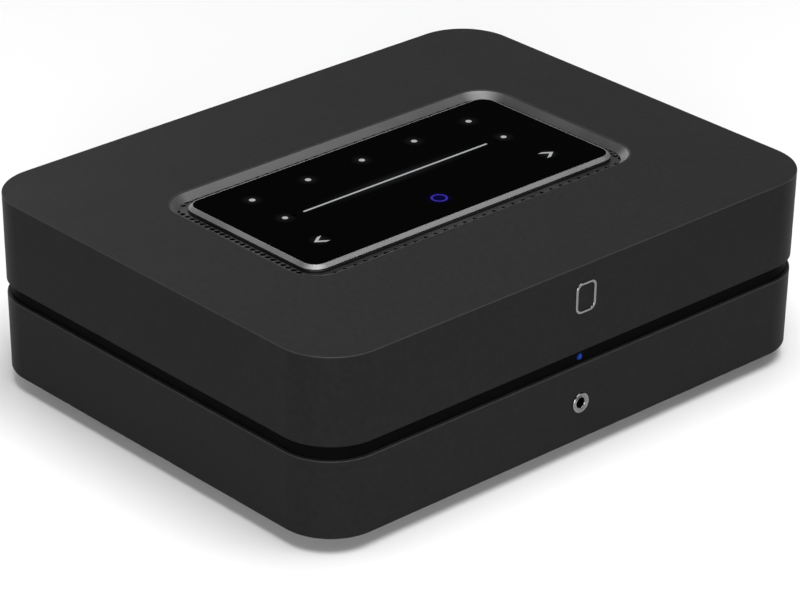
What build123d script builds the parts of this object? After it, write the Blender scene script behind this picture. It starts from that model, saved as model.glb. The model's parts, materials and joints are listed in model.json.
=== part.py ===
from build123d import *
import math
import os

os.makedirs("parts", exist_ok=True)

# Network music streamer with a built-in amplifier, in millimetres.
# +X is the right of someone facing the front, +Y goes to the rear, +Z is up.
# The origin is on the table, under the middle of the outer box.

# Housing: two drafted shells with a dark recessed seam between them
body_w = 220.0
body_d = 172.5
lower_h = 27.6
seam_h = 5.0
upper_h = 31.1
corner_r = 19.7
draft_deg = 1.04
wall = 2.4
lid_t = 2.4
floor_t = 2.4
top_edge_break = 0.35
base_edge_break = 0.7
break_deg = 45.0
overrun = 2.0

# Seam frame: the black band that the two shells close on
seam_inset = 1.33
tongue_h = 3.0
tongue_gap = 0.2
frame_t = 2.0

# Feet
foot_h = 5.3
foot_r = 9.0
foot_sole_r = 8.2
foot_seat = 1.0
foot_in_x = 26.0
foot_in_y = 26.0

# Vents in the floor
slot_in_x = 13.0
slot_w = 2.6
slot_pitch = 6.0
slot_count = 6
slot_field_y = -34.0

# Case screws, up through the lower shell into the lid's bosses
case_in_x = 14.0
case_in_y = 14.5
case_boss_r = 4.0
case_screw_r = 1.5
case_head_r = 2.8
case_head_h = 2.4
case_sink = 7.0
case_bite = 9.0
screw_gap = 0.05
head_gap = 0.3

# Sunken vent round the touch panel
well_w = 146.0
well_d = 76.2
well_r = 11.0
well_depth = 3.5
well_edge_r = 0.5
liner_t = 0.7
liner_gap = 0.1
liner_flange = 4.0

# Perforated sheet at the bottom of the well
mesh_t = 0.8
hole_af = 1.8
hole_pitch = 2.5
hole_land = 0.15

# Touch panel
panel_gap_x = 5.0
panel_gap_y = 5.4
panel_w = well_w - 2 * panel_gap_x
panel_d = well_d - 2 * panel_gap_y
panel_r = 6.3
glass_in_x = 1.5
glass_in_y = 1.4
glass_w = panel_w - 2 * glass_in_x
glass_d = panel_d - 2 * glass_in_y
glass_r = 4.8
glass_t = 1.1
glass_gap = 0.05
panel_drop = 0.1
bevel = 1.15
groove_h = 0.45
groove_in = 0.5
glass_shelf = 1.6
touch_board_t = 1.2
board_gap = 0.3

# Panel carrier, screwed under the lid
carrier_t = 2.0
carrier_lap = 1.2
arm_w = 9.0
arm_in = 4.5
arm_side_y = 22.0
carrier_boss_r = 3.2
carrier_boss_out_x = 10.0
carrier_boss_out_y = 10.9
carrier_screw_r = 1.2
carrier_head_r = 2.3
carrier_head_h = 1.5
carrier_bite = 2.4
flex_w = 20.0
flex_t = 0.3
flex_slot = 3.0
flex_top_y = 20.0
flex_step = 9.0
flex_bend_r = 4.0
flex_lead = 9.0
flex_x = -24.0

# Rear panel, set into a window that both shells share
io_in_x = 24.0
io_sill = 5.2
io_head = 7.0
io_corner_r = 3.0
io_gap = 0.2
flange_in = 4.0
flange_w = 2.5
flange_t = 1.8
panel_recess = 2.4
socket_gap = 0.2
rear_screw_in = 6.0
rear_screw_r = 1.5
rear_head_r = 2.7
rear_head_h = 1.6
rear_bite = 6.0
rear_pillar_w = 9.0
rear_pillar_d = 8.0
rear_pillar_over = 4.5

# Boards
standoff_h = 5.0
standoff_r = 3.2
board_t = 1.6
board_edge = 4.5
board_screw_r = 1.2
board_head_r = 2.3
board_head_h = 1.5
board_bite = 3.6
board_clear = 0.3
main_past_network = 10.0
main_past_sub = 13.0
main_d_share = 0.444
bay_in_x = 22.0
bay_in_y = 10.0
bay_d_share = 0.42
bay_inner_x = 18.0

# Sockets on the main board, evenly spaced from the mains inlet to the window's far end
network_w = 16.0
network_h = 13.4
network_l = 21.0
network_cavity_w = 11.8
network_cavity_h = 8.0
network_cavity_l = 15.0
network_lift = 2.6
network_latch_w = 6.2
network_latch_h = 1.6
usb_w = 13.2
usb_h = 5.9
usb_l = 15.0
usb_wall = 0.35
usb_tongue_t = 1.84
usb_tongue_w = 11.1
usb_tongue_drop = 0.9
usb_depth = 11.5
tongue_back = 1.0
hdmi_w = 15.0
hdmi_h = 5.6
hdmi_l = 11.9
hdmi_wall = 0.5
hdmi_corner = 1.6
hdmi_tongue_t = 1.0
hdmi_tongue_w = 11.6
hdmi_depth = 8.5
jack_bore_r = 1.8
jack_w = 8.0
jack_h = 7.0
jack_l = 14.0
jack_nose_r = 3.0
jack_depth = 13.0
sub_in_x = 25.0
row_gap_count = 6
sub_w = 10.0
sub_h = 12.0
sub_l = 10.0
sub_barrel_r = 4.15
sub_barrel_l = 9.0
sub_collar_r = 5.2
sub_collar_t = 0.8
sub_bore_r = 1.65
sub_bore_l = 8.0

# Mains inlet for a two-pin figure-8 lead
inlet_in_x = 24.0
inlet_z = 19.0
inlet_flange_w = 25.0
inlet_flange_h = 15.0
inlet_flange_t = 1.2
inlet_flange_r = 3.8
inlet_body_w = 20.6
inlet_body_h = 12.2
inlet_body_r = 4.0
inlet_body_l = 19.0
inlet_well_w = 17.4
inlet_well_h = 9.0
inlet_well_l = 12.5
inlet_pin_r = 1.2
inlet_pin_l = 10.0
inlet_pin_pitch = 8.6
inlet_tab_l = 5.0
inlet_tab_w = 2.8
inlet_tab_t = 0.8
lead_r = 1.2
lead_run = 14.0
lead_bend_r = 6.0
lead_in_x = 19.0
lead_pitch = 5.0

# Speaker binding posts
post_lift = 40.5
pair_pitch = 19.05
pair_in_x = 30.0
pair_step = 42.0
block_h = 15.0
block_end = 7.5
collar_t = 3.2
post_boss_r = 5.0
post_boss_past = 0.6
post_hole_gap = 0.1
stud_r = 3.0
stud_short = 2.0
stud_tail_r = 1.5
stud_tail_l = 5.0
thread_gap = 0.05
plug_bore_r = 2.0
plug_bore_l = 12.0
wire_hole_r = 1.0
wire_hole_y = 1.3
nut_af = 10.0
nut_t = 2.5
washer_t = 1.2
washer_r = 6.0
washer_gap = 0.08
knob_r = 6.25
knob_l = 15.5
knob_skirt_l = 2.6
knob_neck = 0.6
knob_chamfer = 0.8
flute_r = 1.1
flute_depth = 0.55
flute_count = 10
terminal_board_margin = 9.0

# Front: headphone socket, status light and emblem
phone_lift = 13.7
phone_ring_r = 3.55
phone_ring_gap = 0.1
phone_ring_proud = 0.45
phone_ring_bevel = 0.5
phone_ring_past = 0.3
phone_w = 7.6
phone_h = 5.0
phone_l = 13.0
phone_depth = 12.0
front_board_w = 28.0
front_board_d = 21.0
front_board_gap = 0.6
led_rise = 2.3
led_r = 1.3
led_gap = 0.1
led_proud = 0.2
led_chip = 3.0
led_chip_h = 1.4
led_back = 3.4
guide_bend_r = 3.0
emblem_w = 9.0
emblem_h = 11.0
emblem_r = 2.6
emblem_line = 1.0
emblem_lift = 52.0
emblem_proud = 0.4
emblem_sunk = 0.4
emblem_gap = 0.05

# Parts on the boards
chip_w = 34.0
chip_d = 22.0
chip_h = 3.0
pad_t = 1.0
sink_side = 6.0
sink_gap = 8.0
sink_base_t = 4.0
sink_fin_h = 24.0
sink_fin_t = 1.6
sink_fin_count = 9
sink_front = 6.0
choke_share = 0.43
choke_h = 12.0
choke_count = 4
choke_back = 10.0
core_w_share = 0.486
core_d = 30.0
core_h = 24.0
core_leg = 8.0
bobbin_share = 0.343
core_x_share = 0.314
core_y = 20.0
cap_r_share = 0.129
cap_h = 30.0
cap_pitch = 22.0
cap_x_share = 0.214
cap_front = 14.0
entry_h = 12.0
entry_w = 16.0
entry_d = 9.0
sheet_t = 0.4
module_w = 24.0
module_d = 20.0
module_t = 1.0
can_h = 1.8
can_in = 1.5
module_gap = 3.0
module_y = 22.0
antenna_w = 9.0
antenna_t = 0.8
antenna_in = 9.0
antenna_y = 28.0
antenna_gap = 3.75
ffc_w = 26.0
ffc_d = 5.0
ffc_h = 3.0
processor_w = 22.0
processor_h = 1.2
processor_y = 24.5

# Levels and faces that the sizes above give
slope = math.tan(math.radians(draft_deg))
z_base = foot_h
z_floor = z_base + floor_t
z_rim = z_base + lower_h
z_skirt = z_rim + seam_h
z_top = z_skirt + upper_h
z_lid = z_top - lid_t
z_mesh = z_top - well_depth
z_board = z_floor + standoff_h
z_parts = z_board + board_t
z_glass = z_top - panel_drop
z_post = z_base + post_lift
z_inlet = z_base + inlet_z
z_phone = z_base + phone_lift
z_led = z_rim + led_rise
post_reach = collar_t + washer_t + knob_l - panel_recess
emblem_top = z_base + emblem_lift + emblem_h / 2
emblem_reach = max(0, emblem_proud - (z_top - emblem_top) * slope)
mid_y = (emblem_reach - post_reach) / 2
front_y = mid_y - body_d / 2
back_y = mid_y + body_d / 2
panel_y = back_y - panel_recess
flange_y = back_y - flange_in
inside_y = flange_y - flange_t
io_z0 = z_base + io_sill
io_z1 = z_top - io_head
collar_y = panel_y + collar_t
knob_y = collar_y + washer_t
case_x = body_w / 2 - case_in_x
case_y = body_d / 2 - case_in_y
bay_x = body_w / 2 - bay_in_x
bay_w = bay_x - bay_inner_x
bay_front_y = front_y + bay_in_y
inner_d = inside_y - front_y
bay_d = bay_d_share * inner_d
main_d = main_d_share * inner_d
main_y0 = inside_y - board_clear - main_d
carrier_boss_x = well_w / 2 + carrier_boss_out_x
carrier_boss_y = well_d / 2 + carrier_boss_out_y
io_half_w = body_w / 2 - io_in_x
inlet_x = inlet_in_x - io_half_w
sub_x = io_half_w - sub_in_x
row_x0 = inlet_x + inlet_flange_w / 2
row_w = network_w + usb_w + hdmi_w + 2 * jack_w
socket_step = (sub_x - sub_collar_r - row_x0 - row_w) / row_gap_count
network_x = row_x0 + socket_step + network_w / 2
usb_x = network_x + network_w / 2 + socket_step + usb_w / 2
hdmi_x = usb_x + usb_w / 2 + socket_step + hdmi_w / 2
infrared_x = hdmi_x + hdmi_w / 2 + socket_step + jack_w / 2
audio_x = infrared_x + jack_w + socket_step
main_half_left = network_w / 2 - network_x + main_past_network
main_half_right = sub_x + main_past_sub
choke_step = bay_w / (choke_count + 1)
choke_r = choke_share * choke_step
sink_w = bay_w - 2 * sink_side
sink_d = bay_d - sink_front - choke_back - choke_r - sink_gap
core_w = core_w_share * bay_w
bobbin_w = bobbin_share * bay_w
core_x = core_x_share * bay_w
cap_r = cap_r_share * bay_w
cap_in_x = cap_x_share * bay_w
pair_x_left = io_half_w - pair_in_x
pair_x_right = pair_x_left - pair_step
antenna_l = case_y - case_boss_r - antenna_gap - antenna_y
posts = {
    "left_plus": pair_x_left + pair_pitch / 2,
    "left_minus": pair_x_left - pair_pitch / 2,
    "right_plus": pair_x_right + pair_pitch / 2,
    "right_minus": pair_x_right - pair_pitch / 2,
}


def block(x0, x1, y0, y1, z0, z1):
    """A box between two corners."""
    return Pos((x0 + x1) / 2, (y0 + y1) / 2, (z0 + z1) / 2) * Box(x1 - x0, y1 - y0, z1 - z0)


def rod_z(x, y, z0, z1, r):
    """An upright round bar."""
    return Pos(x, y, (z0 + z1) / 2) * Cylinder(r, z1 - z0)


def prism_y(sketch, y0, y1):
    """An outline drawn on X and Z, made solid from y0 to y1."""
    return extrude(Plane.XZ.offset(-y1) * sketch, y1 - y0)


def rod_y(x, z, y0, y1, r):
    """A round bar that points to the rear."""
    return prism_y(Pos(x, z) * Circle(r), y0, y1)


def slab(w, d, r, z0, z1):
    """A flat plate with round corners, centred on the housing's plan."""
    return extrude(Pos(0, mid_y, z0) * RectangleRounded(w, d, r), z1 - z0)


def outline_at(z, inset=0):
    """The housing's outline at a height, moved in by inset."""
    side = inset + (z_top - z) * slope
    return Pos(0, mid_y, z) * RectangleRounded(body_w - 2 * side, body_d - 2 * side, corner_r - side)


def drafted(z0, z1, inset=0):
    """The housing's tapering solid between two heights, moved in by inset."""
    return extrude(outline_at(z0, inset), z1 - z0, taper=-draft_deg)


def face_y(z):
    """Where the front wall's outer face lies at a height."""
    return front_y + (z_top - z) * slope


def io_window(grow, y0, y1):
    """The rear window's outline, grown or shrunk all round."""
    w = 2 * (io_half_w + grow)
    h = io_z1 - io_z0 + 2 * grow
    outline = Pos(0, (io_z0 + io_z1) / 2) * RectangleRounded(w, h, io_corner_r + grow)
    return prism_y(outline, y0, y1)


def four(x, y):
    """Four places mirrored about the plan's middle."""
    return [(sx * x, mid_y + sy * y) for sx in (-1, 1) for sy in (-1, 1)]


def rear_screw_places():
    """Where the rear panel is screwed on: x, z and the sign of the pillar's side."""
    x = io_half_w - rear_screw_in
    low = io_z0 + rear_screw_in
    high = io_z1 - rear_screw_in
    return [(sx * x, z, up) for sx in (-1, 1) for z, up in ((low, False), (high, True))]


def rear_pillar(x, z, up):
    """A pillar behind the rear panel that takes one of its screws."""
    x0 = x - rear_pillar_w / 2
    x1 = x + rear_pillar_w / 2
    if up:
        z0 = z - rear_pillar_over
        z1 = z_lid + lid_t / 2
    else:
        z0 = z_floor - floor_t / 2
        z1 = z + rear_pillar_over
    pillar = block(x0, x1, inside_y - rear_pillar_d, inside_y, z0, z1)
    return pillar - rod_y(x, z, inside_y - rear_bite, inside_y + overrun, rear_screw_r + screw_gap)


def board_corners(x0, x1, y0, y1):
    """The four screw places of a board."""
    return [(x, y) for x in (x0 + board_edge, x1 - board_edge) for y in (y0 + board_edge, y1 - board_edge)]


def main_outline():
    return -main_half_left, main_half_right, main_y0, main_y0 + main_d


def bay_outline(side):
    """The plan of the power supply, on side -1, or of the amplifier, on side 1."""
    xs = sorted((side * bay_inner_x, side * bay_x))
    return xs[0], xs[1], bay_front_y, bay_front_y + bay_d


def all_board_screws():
    places = board_corners(*main_outline())
    for side in (-1, 1):
        places += board_corners(*bay_outline(side))
    return places


def front_board_outline():
    y0 = face_y(z_phone) + wall + front_board_gap
    return -front_board_w / 2, front_board_w / 2, y0, y0 + front_board_d


def front_board_top():
    return z_phone - phone_h / 2


def carrier_places():
    """Where the panel carrier is screwed up under the lid."""
    sides = [(sx * carrier_boss_x, mid_y + sy * arm_side_y) for sx in (-1, 1) for sy in (-1, 1)]
    return sides + [(0, mid_y - carrier_boss_y), (0, mid_y + carrier_boss_y)]


def emblem_plane(offset=0):
    """A plane on the drafted front face, where the emblem sits."""
    z = z_base + emblem_lift
    out = Vector(0, -math.cos(math.radians(draft_deg)), -math.sin(math.radians(draft_deg)))
    plane = Plane(origin=(0, face_y(z), z), x_dir=(1, 0, 0), z_dir=out)
    return plane.offset(offset)


def make_upper_shell():
    z_break = z_top - top_edge_break
    shell = drafted(z_skirt, z_break) + extrude(outline_at(z_break), top_edge_break, taper=break_deg)
    shell -= drafted(z_skirt - overrun, z_lid, wall)
    shell -= slab(
        well_w + 2 * (liner_t + liner_gap),
        well_d + 2 * (liner_t + liner_gap),
        well_r + liner_t + liner_gap,
        z_lid - overrun,
        z_top + overrun,
    )
    rim = shell.faces().filter_by(Axis.Z).sort_by(Axis.Z)[-1].inner_wires()[0]
    shell = fillet(rim.edges(), well_edge_r)
    shell -= io_window(0, flange_y, back_y + overrun)
    for x, y in four(case_x, case_y):
        shell += rod_z(x, y, z_rim, z_lid + lid_t / 2, case_boss_r)
        shell -= rod_z(x, y, z_rim - overrun, z_rim + case_bite, case_screw_r + screw_gap)
    for x, y in carrier_places():
        shell += rod_z(x, y, z_mesh - mesh_t, z_lid + lid_t / 2, carrier_boss_r)
        tip = z_mesh - mesh_t + carrier_bite
        shell -= rod_z(x, y, z_mesh - mesh_t - overrun, tip, carrier_screw_r + screw_gap)
    for x, z, up in rear_screw_places():
        if up:
            shell += rear_pillar(x, z, up)
    grow = 2 * emblem_gap
    recess = emblem_plane() * RectangleRounded(emblem_w + grow, emblem_h + grow, emblem_r + emblem_gap)
    shell -= extrude(recess, -emblem_sunk) + extrude(recess, overrun)
    return shell


def floor_slots():
    """The rows of vent slots under the amplifier and the power supply."""
    length = bay_w - 2 * slot_in_x
    slots = []
    for side in (-1, 1):
        x = side * (bay_inner_x + bay_x) / 2
        for k in range(slot_count):
            y = mid_y + slot_field_y + (k - (slot_count - 1) / 2) * slot_pitch
            slot = Pos(x, y, z_base - overrun) * SlotOverall(length, slot_w)
            slots.append(extrude(slot, floor_t + 2 * overrun))
    return slots


def make_lower_shell():
    z_break = z_base + base_edge_break
    shell = drafted(z_break, z_rim) + extrude(outline_at(z_break), -base_edge_break, taper=break_deg)
    shell -= drafted(z_floor, z_rim + overrun, wall)
    for x, y in four(case_x, case_y):
        shell += rod_z(x, y, z_base + floor_t / 2, z_rim, case_boss_r)
    for x, y in all_board_screws():
        shell += rod_z(x, y, z_floor - floor_t / 2, z_board, standoff_r)
    fx0, fx1, fy0, fy1 = front_board_outline()
    for x in (fx0 + board_edge, fx1 - board_edge):
        shell += rod_z(x, fy1 - board_edge, z_floor - floor_t / 2, front_board_top() - board_t, standoff_r)
    for x, z, up in rear_screw_places():
        if not up:
            shell += rear_pillar(x, z, up)
    shell -= io_window(0, flange_y, back_y + overrun)
    for x, y in four(case_x, case_y):
        shell -= rod_z(x, y, z_base - overrun, z_rim + overrun, case_screw_r + head_gap)
        shell -= rod_z(x, y, z_base - overrun, z_base + case_sink, case_head_r + head_gap)
    for x, y in all_board_screws():
        shell -= rod_z(x, y, z_board - board_bite, z_board + overrun, board_screw_r + screw_gap)
    for x, y in four(body_w / 2 - foot_in_x, body_d / 2 - foot_in_y):
        shell -= rod_z(x, y, z_base - overrun, z_base + foot_seat, foot_r)
    for slot in floor_slots():
        shell -= slot
    face = face_y(z_phone)
    shell -= rod_y(0, z_phone, face - overrun, face + wall + overrun, phone_ring_r + phone_ring_gap)
    return shell


def make_seam_frame():
    inner = wall + tongue_gap
    frame = drafted(z_rim, z_skirt, seam_inset)
    frame += drafted(z_rim - tongue_h, z_skirt + tongue_h, inner)
    frame -= drafted(z_rim - tongue_h - overrun, z_skirt + tongue_h + overrun, inner + frame_t)
    grow = flange_w + board_clear
    frame -= io_window(grow, inside_y - wall, back_y + overrun)
    face = face_y(z_led)
    frame -= rod_y(0, z_led, face, face + wall + frame_t + overrun, led_r + led_gap)
    return frame


def make_foot(x, y):
    """A rubber foot with a soft-edged, slightly tapering sole."""
    foot = rod_z(x, y, z_base, z_base + foot_seat, foot_r)
    foot += Pos(x, y, z_base / 2) * Cone(foot_sole_r, foot_r, z_base)
    return foot


def make_well_liner():
    """The bright ring that lines the well, with a flange under the lid."""
    out = liner_t
    ring = slab(well_w + 2 * out, well_d + 2 * out, well_r + out, z_mesh, z_top - well_edge_r)
    out = liner_t + liner_flange
    ring += slab(well_w + 2 * out, well_d + 2 * out, well_r + out, z_mesh, z_lid)
    return ring - slab(well_w, well_d, well_r, z_mesh - overrun, z_top + overrun)


def mesh_holes():
    """The places of the holes that lie whole between the liner and the panel."""
    column = hole_pitch * math.sqrt(3) / 2
    reach = hole_af / 2 + hole_land
    places = []
    for i in range(-int(well_w / column), int(well_w / column) + 1):
        for j in range(-int(well_d / hole_pitch), int(well_d / hole_pitch) + 1):
            x = i * column
            y = (j + (i % 2) / 2) * hole_pitch
            outside = abs(x) > panel_w / 2 + reach or abs(y) > panel_d / 2 + reach
            corner_x = max(abs(x) - (well_w / 2 - well_r), 0)
            corner_y = max(abs(y) - (well_d / 2 - well_r), 0)
            inside = abs(x) < well_w / 2 - reach and abs(y) < well_d / 2 - reach
            if outside and inside and math.hypot(corner_x, corner_y) < well_r - reach:
                places.append((x, y))
    return places


def make_vent_mesh():
    out = liner_flange
    window_w = glass_w - 2 * glass_shelf
    window_d = glass_d - 2 * glass_shelf
    plan = RectangleRounded(well_w + 2 * out, well_d + 2 * out, well_r + out)
    plan -= RectangleRounded(window_w, window_d, glass_r - glass_shelf)
    plan -= Locations(*mesh_holes()) * RegularPolygon(hole_af / 2, 6, major_radius=False)
    return extrude(Pos(0, mid_y, z_mesh - mesh_t) * plan, mesh_t)


def make_panel_frame():
    """The bevelled metal frame that holds the glass above the mesh."""
    frame = slab(panel_w, panel_d, panel_r, z_mesh, z_glass)
    frame = chamfer(frame.edges().group_by(Axis.Z)[-1], bevel)
    z_groove = z_glass - bevel
    groove = slab(panel_w + overrun, panel_d + overrun, panel_r, z_groove - groove_h, z_groove)
    core_w = panel_w - 2 * groove_in
    core_d = panel_d - 2 * groove_in
    groove -= slab(core_w, core_d, panel_r - groove_in, z_groove - groove_h, z_groove)
    frame -= groove
    frame -= slab(
        glass_w + 2 * glass_gap, glass_d + 2 * glass_gap, glass_r, z_glass - glass_t, z_glass + overrun
    )
    inner_w = glass_w - 2 * glass_shelf
    inner_d = glass_d - 2 * glass_shelf
    return frame - slab(inner_w, inner_d, glass_r - glass_shelf, z_mesh - overrun, z_glass)


def make_touch_glass():
    return slab(glass_w, glass_d, glass_r, z_glass - glass_t, z_glass)


def touch_stack(z0, z1):
    """A plate that fits inside the panel frame's opening."""
    in_ = glass_shelf + board_gap
    return slab(glass_w - 2 * in_, glass_d - 2 * in_, glass_r - in_, z0, z1)


def make_touch_board():
    top = z_glass - glass_t
    return touch_stack(top - touch_board_t, top)


def make_panel_carrier():
    """A plastic tray under the mesh, with arms out to the lid's bosses."""
    top = z_mesh - mesh_t
    low = top - carrier_t
    lap = glass_shelf - carrier_lap
    tray = slab(glass_w - 2 * lap, glass_d - 2 * lap, glass_r, low, top)
    tray += touch_stack(low, z_glass - glass_t - touch_board_t)
    for x, y in carrier_places():
        if x == 0:
            y0, y1 = sorted((mid_y, y + math.copysign(arm_in, y - mid_y)))
            tray += block(-arm_w / 2, arm_w / 2, y0, y1, low, top)
        else:
            x0, x1 = sorted((0, x + math.copysign(arm_in, x)))
            tray += block(x0, x1, y - arm_w / 2, y + arm_w / 2, low, top)
    for x, y in carrier_places():
        tray -= rod_z(x, y, low - overrun, top + overrun, carrier_screw_r + head_gap)
    y = mid_y + flex_top_y
    half = flex_w / 2 + board_clear
    tray -= block(flex_x - half, flex_x + half, y - flex_slot / 2, y + flex_slot / 2, low - overrun, z_top)
    return tray


def make_panel_flex():
    """The flat cable from the touch board down to the main board."""
    y0 = mid_y + flex_top_y
    y1 = y0 + flex_step
    top = z_glass - glass_t - touch_board_t
    end = z_parts + ffc_h
    turn = z_mesh - mesh_t - carrier_t - flex_lead
    path = FilletPolyline(
        (flex_x, y0, top),
        (flex_x, y0, turn),
        (flex_x, y1, turn - flex_step),
        (flex_x, y1, end),
        radius=flex_bend_r,
    )
    section = Plane(origin=(flex_x, y0, top), x_dir=(1, 0, 0), z_dir=(0, 0, -1)) * Rectangle(flex_w, flex_t)
    return sweep(section, path=path)


def make_rear_panel():
    panel = io_window(-io_gap, flange_y, panel_y) + io_window(flange_w, inside_y, flange_y)
    far = inside_y - overrun
    near = panel_y + overrun
    for socket_x, w, h in (
        (network_x, network_w, network_h),
        (usb_x, usb_w, usb_h),
        (hdmi_x, hdmi_w, hdmi_h),
    ):
        half = w / 2 + socket_gap
        top = z_parts + h + socket_gap
        panel -= block(socket_x - half, socket_x + half, far, near, z_parts - socket_gap, top)
    for x in (infrared_x, audio_x):
        panel -= rod_y(x, z_parts + jack_h / 2, far, near, jack_nose_r + socket_gap)
    panel -= rod_y(sub_x, z_parts + sub_h / 2, far, near, sub_barrel_r + socket_gap)
    panel -= prism_y(Pos(inlet_x, z_inlet) * inlet_outline(socket_gap), far, near)
    for x in posts.values():
        panel -= rod_y(x, z_post, far, near, post_boss_r + post_hole_gap)
    for x, z, up in rear_screw_places():
        panel -= rod_y(x, z, far, near, rear_screw_r + head_gap)
    return panel


def screw_up(x, y, z_head, head_h, length, head_r, shank_r):
    """A round-headed screw that is driven upwards, with its head's seat at z_head."""
    return rod_z(x, y, z_head - head_h, z_head, head_r) + rod_z(x, y, z_head, z_head + length, shank_r)


def make_case_screws():
    seat = z_base + case_sink
    length = z_rim + case_bite - head_gap - seat
    screws = []
    for x, y in four(case_x, case_y):
        screws.append(screw_up(x, y, seat, case_head_h, length, case_head_r, case_screw_r))
    return Compound(children=screws)


def make_carrier_screws():
    seat = z_mesh - mesh_t - carrier_t
    length = carrier_t + carrier_bite - head_gap
    screws = []
    for x, y in carrier_places():
        screws.append(screw_up(x, y, seat, carrier_head_h, length, carrier_head_r, carrier_screw_r))
    return Compound(children=screws)


def make_rear_screws():
    screws = []
    for x, z, up in rear_screw_places():
        head = rod_y(x, z, panel_y, panel_y + rear_head_h, rear_head_r)
        screws.append(head + rod_y(x, z, inside_y - rear_bite + head_gap, panel_y, rear_screw_r))
    return Compound(children=screws)


def make_board_screws():
    screws = []
    for x, y in all_board_screws():
        head = rod_z(x, y, z_parts, z_parts + board_head_h, board_head_r)
        screws.append(head + rod_z(x, y, z_board - board_bite + head_gap, z_parts, board_screw_r))
    return Compound(children=screws)


def make_board(outline, low):
    """A bare circuit board with its screw holes."""
    x0, x1, y0, y1 = outline
    board = block(x0, x1, y0, y1, low, low + board_t)
    for x, y in board_corners(*outline):
        board -= rod_z(x, y, low - overrun, low + board_t + overrun, board_screw_r + head_gap)
    return board


def processor_x():
    return (main_half_right - main_half_left) / 2


def make_main_board():
    """The main board, with its processor and the connector for the panel's flat cable."""
    x0, x1, y0, y1 = main_outline()
    board = make_board(main_outline(), z_board)
    y = mid_y + flex_top_y + flex_step
    half = ffc_w / 2
    board += block(flex_x - half, flex_x + half, y - ffc_d / 2, y + ffc_d / 2, z_parts, z_parts + ffc_h)
    cx = processor_x()
    cy = y0 + processor_y
    half = processor_w / 2
    return board + block(cx - half, cx + half, cy - half, cy + half, z_parts, z_parts + processor_h)


def amp_chip_middle():
    x0, x1, y0, y1 = bay_outline(1)
    return (x0 + x1) / 2, y0 + sink_front + sink_d / 2


def over_amp_chip(z0, z1):
    """A block on the amplifier chip's outline."""
    cx, cy = amp_chip_middle()
    return block(cx - chip_w / 2, cx + chip_w / 2, cy - chip_d / 2, cy + chip_d / 2, z0, z1)


def make_amplifier_board():
    return make_board(bay_outline(1), z_board) + over_amp_chip(z_parts, z_parts + chip_h)


def make_thermal_pad():
    return over_amp_chip(z_parts + chip_h, z_parts + chip_h + pad_t)


def make_heatsink():
    """An extruded finned block, drawn end on and pushed through its depth."""
    cx, cy = amp_chip_middle()
    z = z_parts + chip_h + pad_t
    profile = Pos(cx, z + sink_base_t / 2) * Rectangle(sink_w, sink_base_t)
    step = (sink_w - sink_fin_t) / (sink_fin_count - 1)
    for k in range(sink_fin_count):
        x = cx - (sink_w - sink_fin_t) / 2 + k * step
        height = sink_base_t + sink_fin_h
        profile += Pos(x, z + height / 2) * Rectangle(sink_fin_t, height)
    return prism_y(profile, cy - sink_d / 2, cy + sink_d / 2)


def make_chokes():
    x0, x1, y0, y1 = bay_outline(1)
    chokes = []
    for k in range(choke_count):
        x = x0 + (k + 1) * choke_step
        chokes.append(rod_z(x, y1 - choke_back, z_parts, z_parts + choke_h, choke_r))
    return Compound(children=chokes)


def make_power_board():
    """The power supply board, with the block that the mains leads enter."""
    x0, x1, y0, y1 = bay_outline(-1)
    board = make_board(bay_outline(-1), z_board)
    cx = x0 + lead_in_x
    top = z_inlet + entry_h / 2
    return board + block(cx - entry_w / 2, cx + entry_w / 2, y1 - entry_d, y1, z_parts, top)


def make_transformer():
    """A ferrite core round a wound bobbin."""
    x0, x1, y0, y1 = bay_outline(-1)
    cx = x0 + core_x
    cy = y0 + core_y
    core = block(cx - core_w / 2, cx + core_w / 2, cy - core_leg, cy + core_leg, z_parts, z_parts + core_h)
    bobbin = block(
        cx - bobbin_w / 2, cx + bobbin_w / 2, cy - core_d / 2, cy + core_d / 2,
        z_parts, z_parts + core_h - core_leg / 2,
    )
    return core + bobbin


def make_capacitors():
    x0, x1, y0, y1 = bay_outline(-1)
    x = x1 - cap_in_x
    caps = []
    for k in range(2):
        caps.append(rod_z(x, y0 + cap_front + k * cap_pitch, z_parts, z_parts + cap_h, cap_r))
    return Compound(children=caps)


def make_insulating_sheet():
    """A thin sheet on the floor under the power supply."""
    x0, x1, y0, y1 = bay_outline(-1)
    sheet = block(x0, x1, y0, y1, z_floor, z_floor + sheet_t)
    for x, y in board_corners(*bay_outline(-1)):
        sheet -= rod_z(x, y, z_floor - overrun, z_floor + overrun, standoff_r + board_clear)
    for slot in floor_slots():
        sheet -= slot
    return sheet


def make_wireless_module():
    cx = processor_x() + processor_w / 2 + module_gap + module_w / 2
    cy = main_y0 + module_y
    half_w = module_w / 2
    half_d = module_d / 2
    z = z_parts + module_t
    module = block(cx - half_w, cx + half_w, cy - half_d, cy + half_d, z_parts, z)
    half_w -= can_in
    half_d -= can_in
    return module + block(cx - half_w, cx + half_w, cy - half_d, cy + half_d, z, z + can_h)


def make_antennas():
    """Two flat antennas stuck under the lid, one near each side wall."""
    strips = []
    for side in (-1, 1):
        x = side * (body_w / 2 - antenna_in)
        y = mid_y + antenna_y
        strips.append(
            block(x - antenna_w / 2, x + antenna_w / 2, y, y + antenna_l, z_lid - antenna_t, z_lid)
        )
    return Compound(children=strips)


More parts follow.
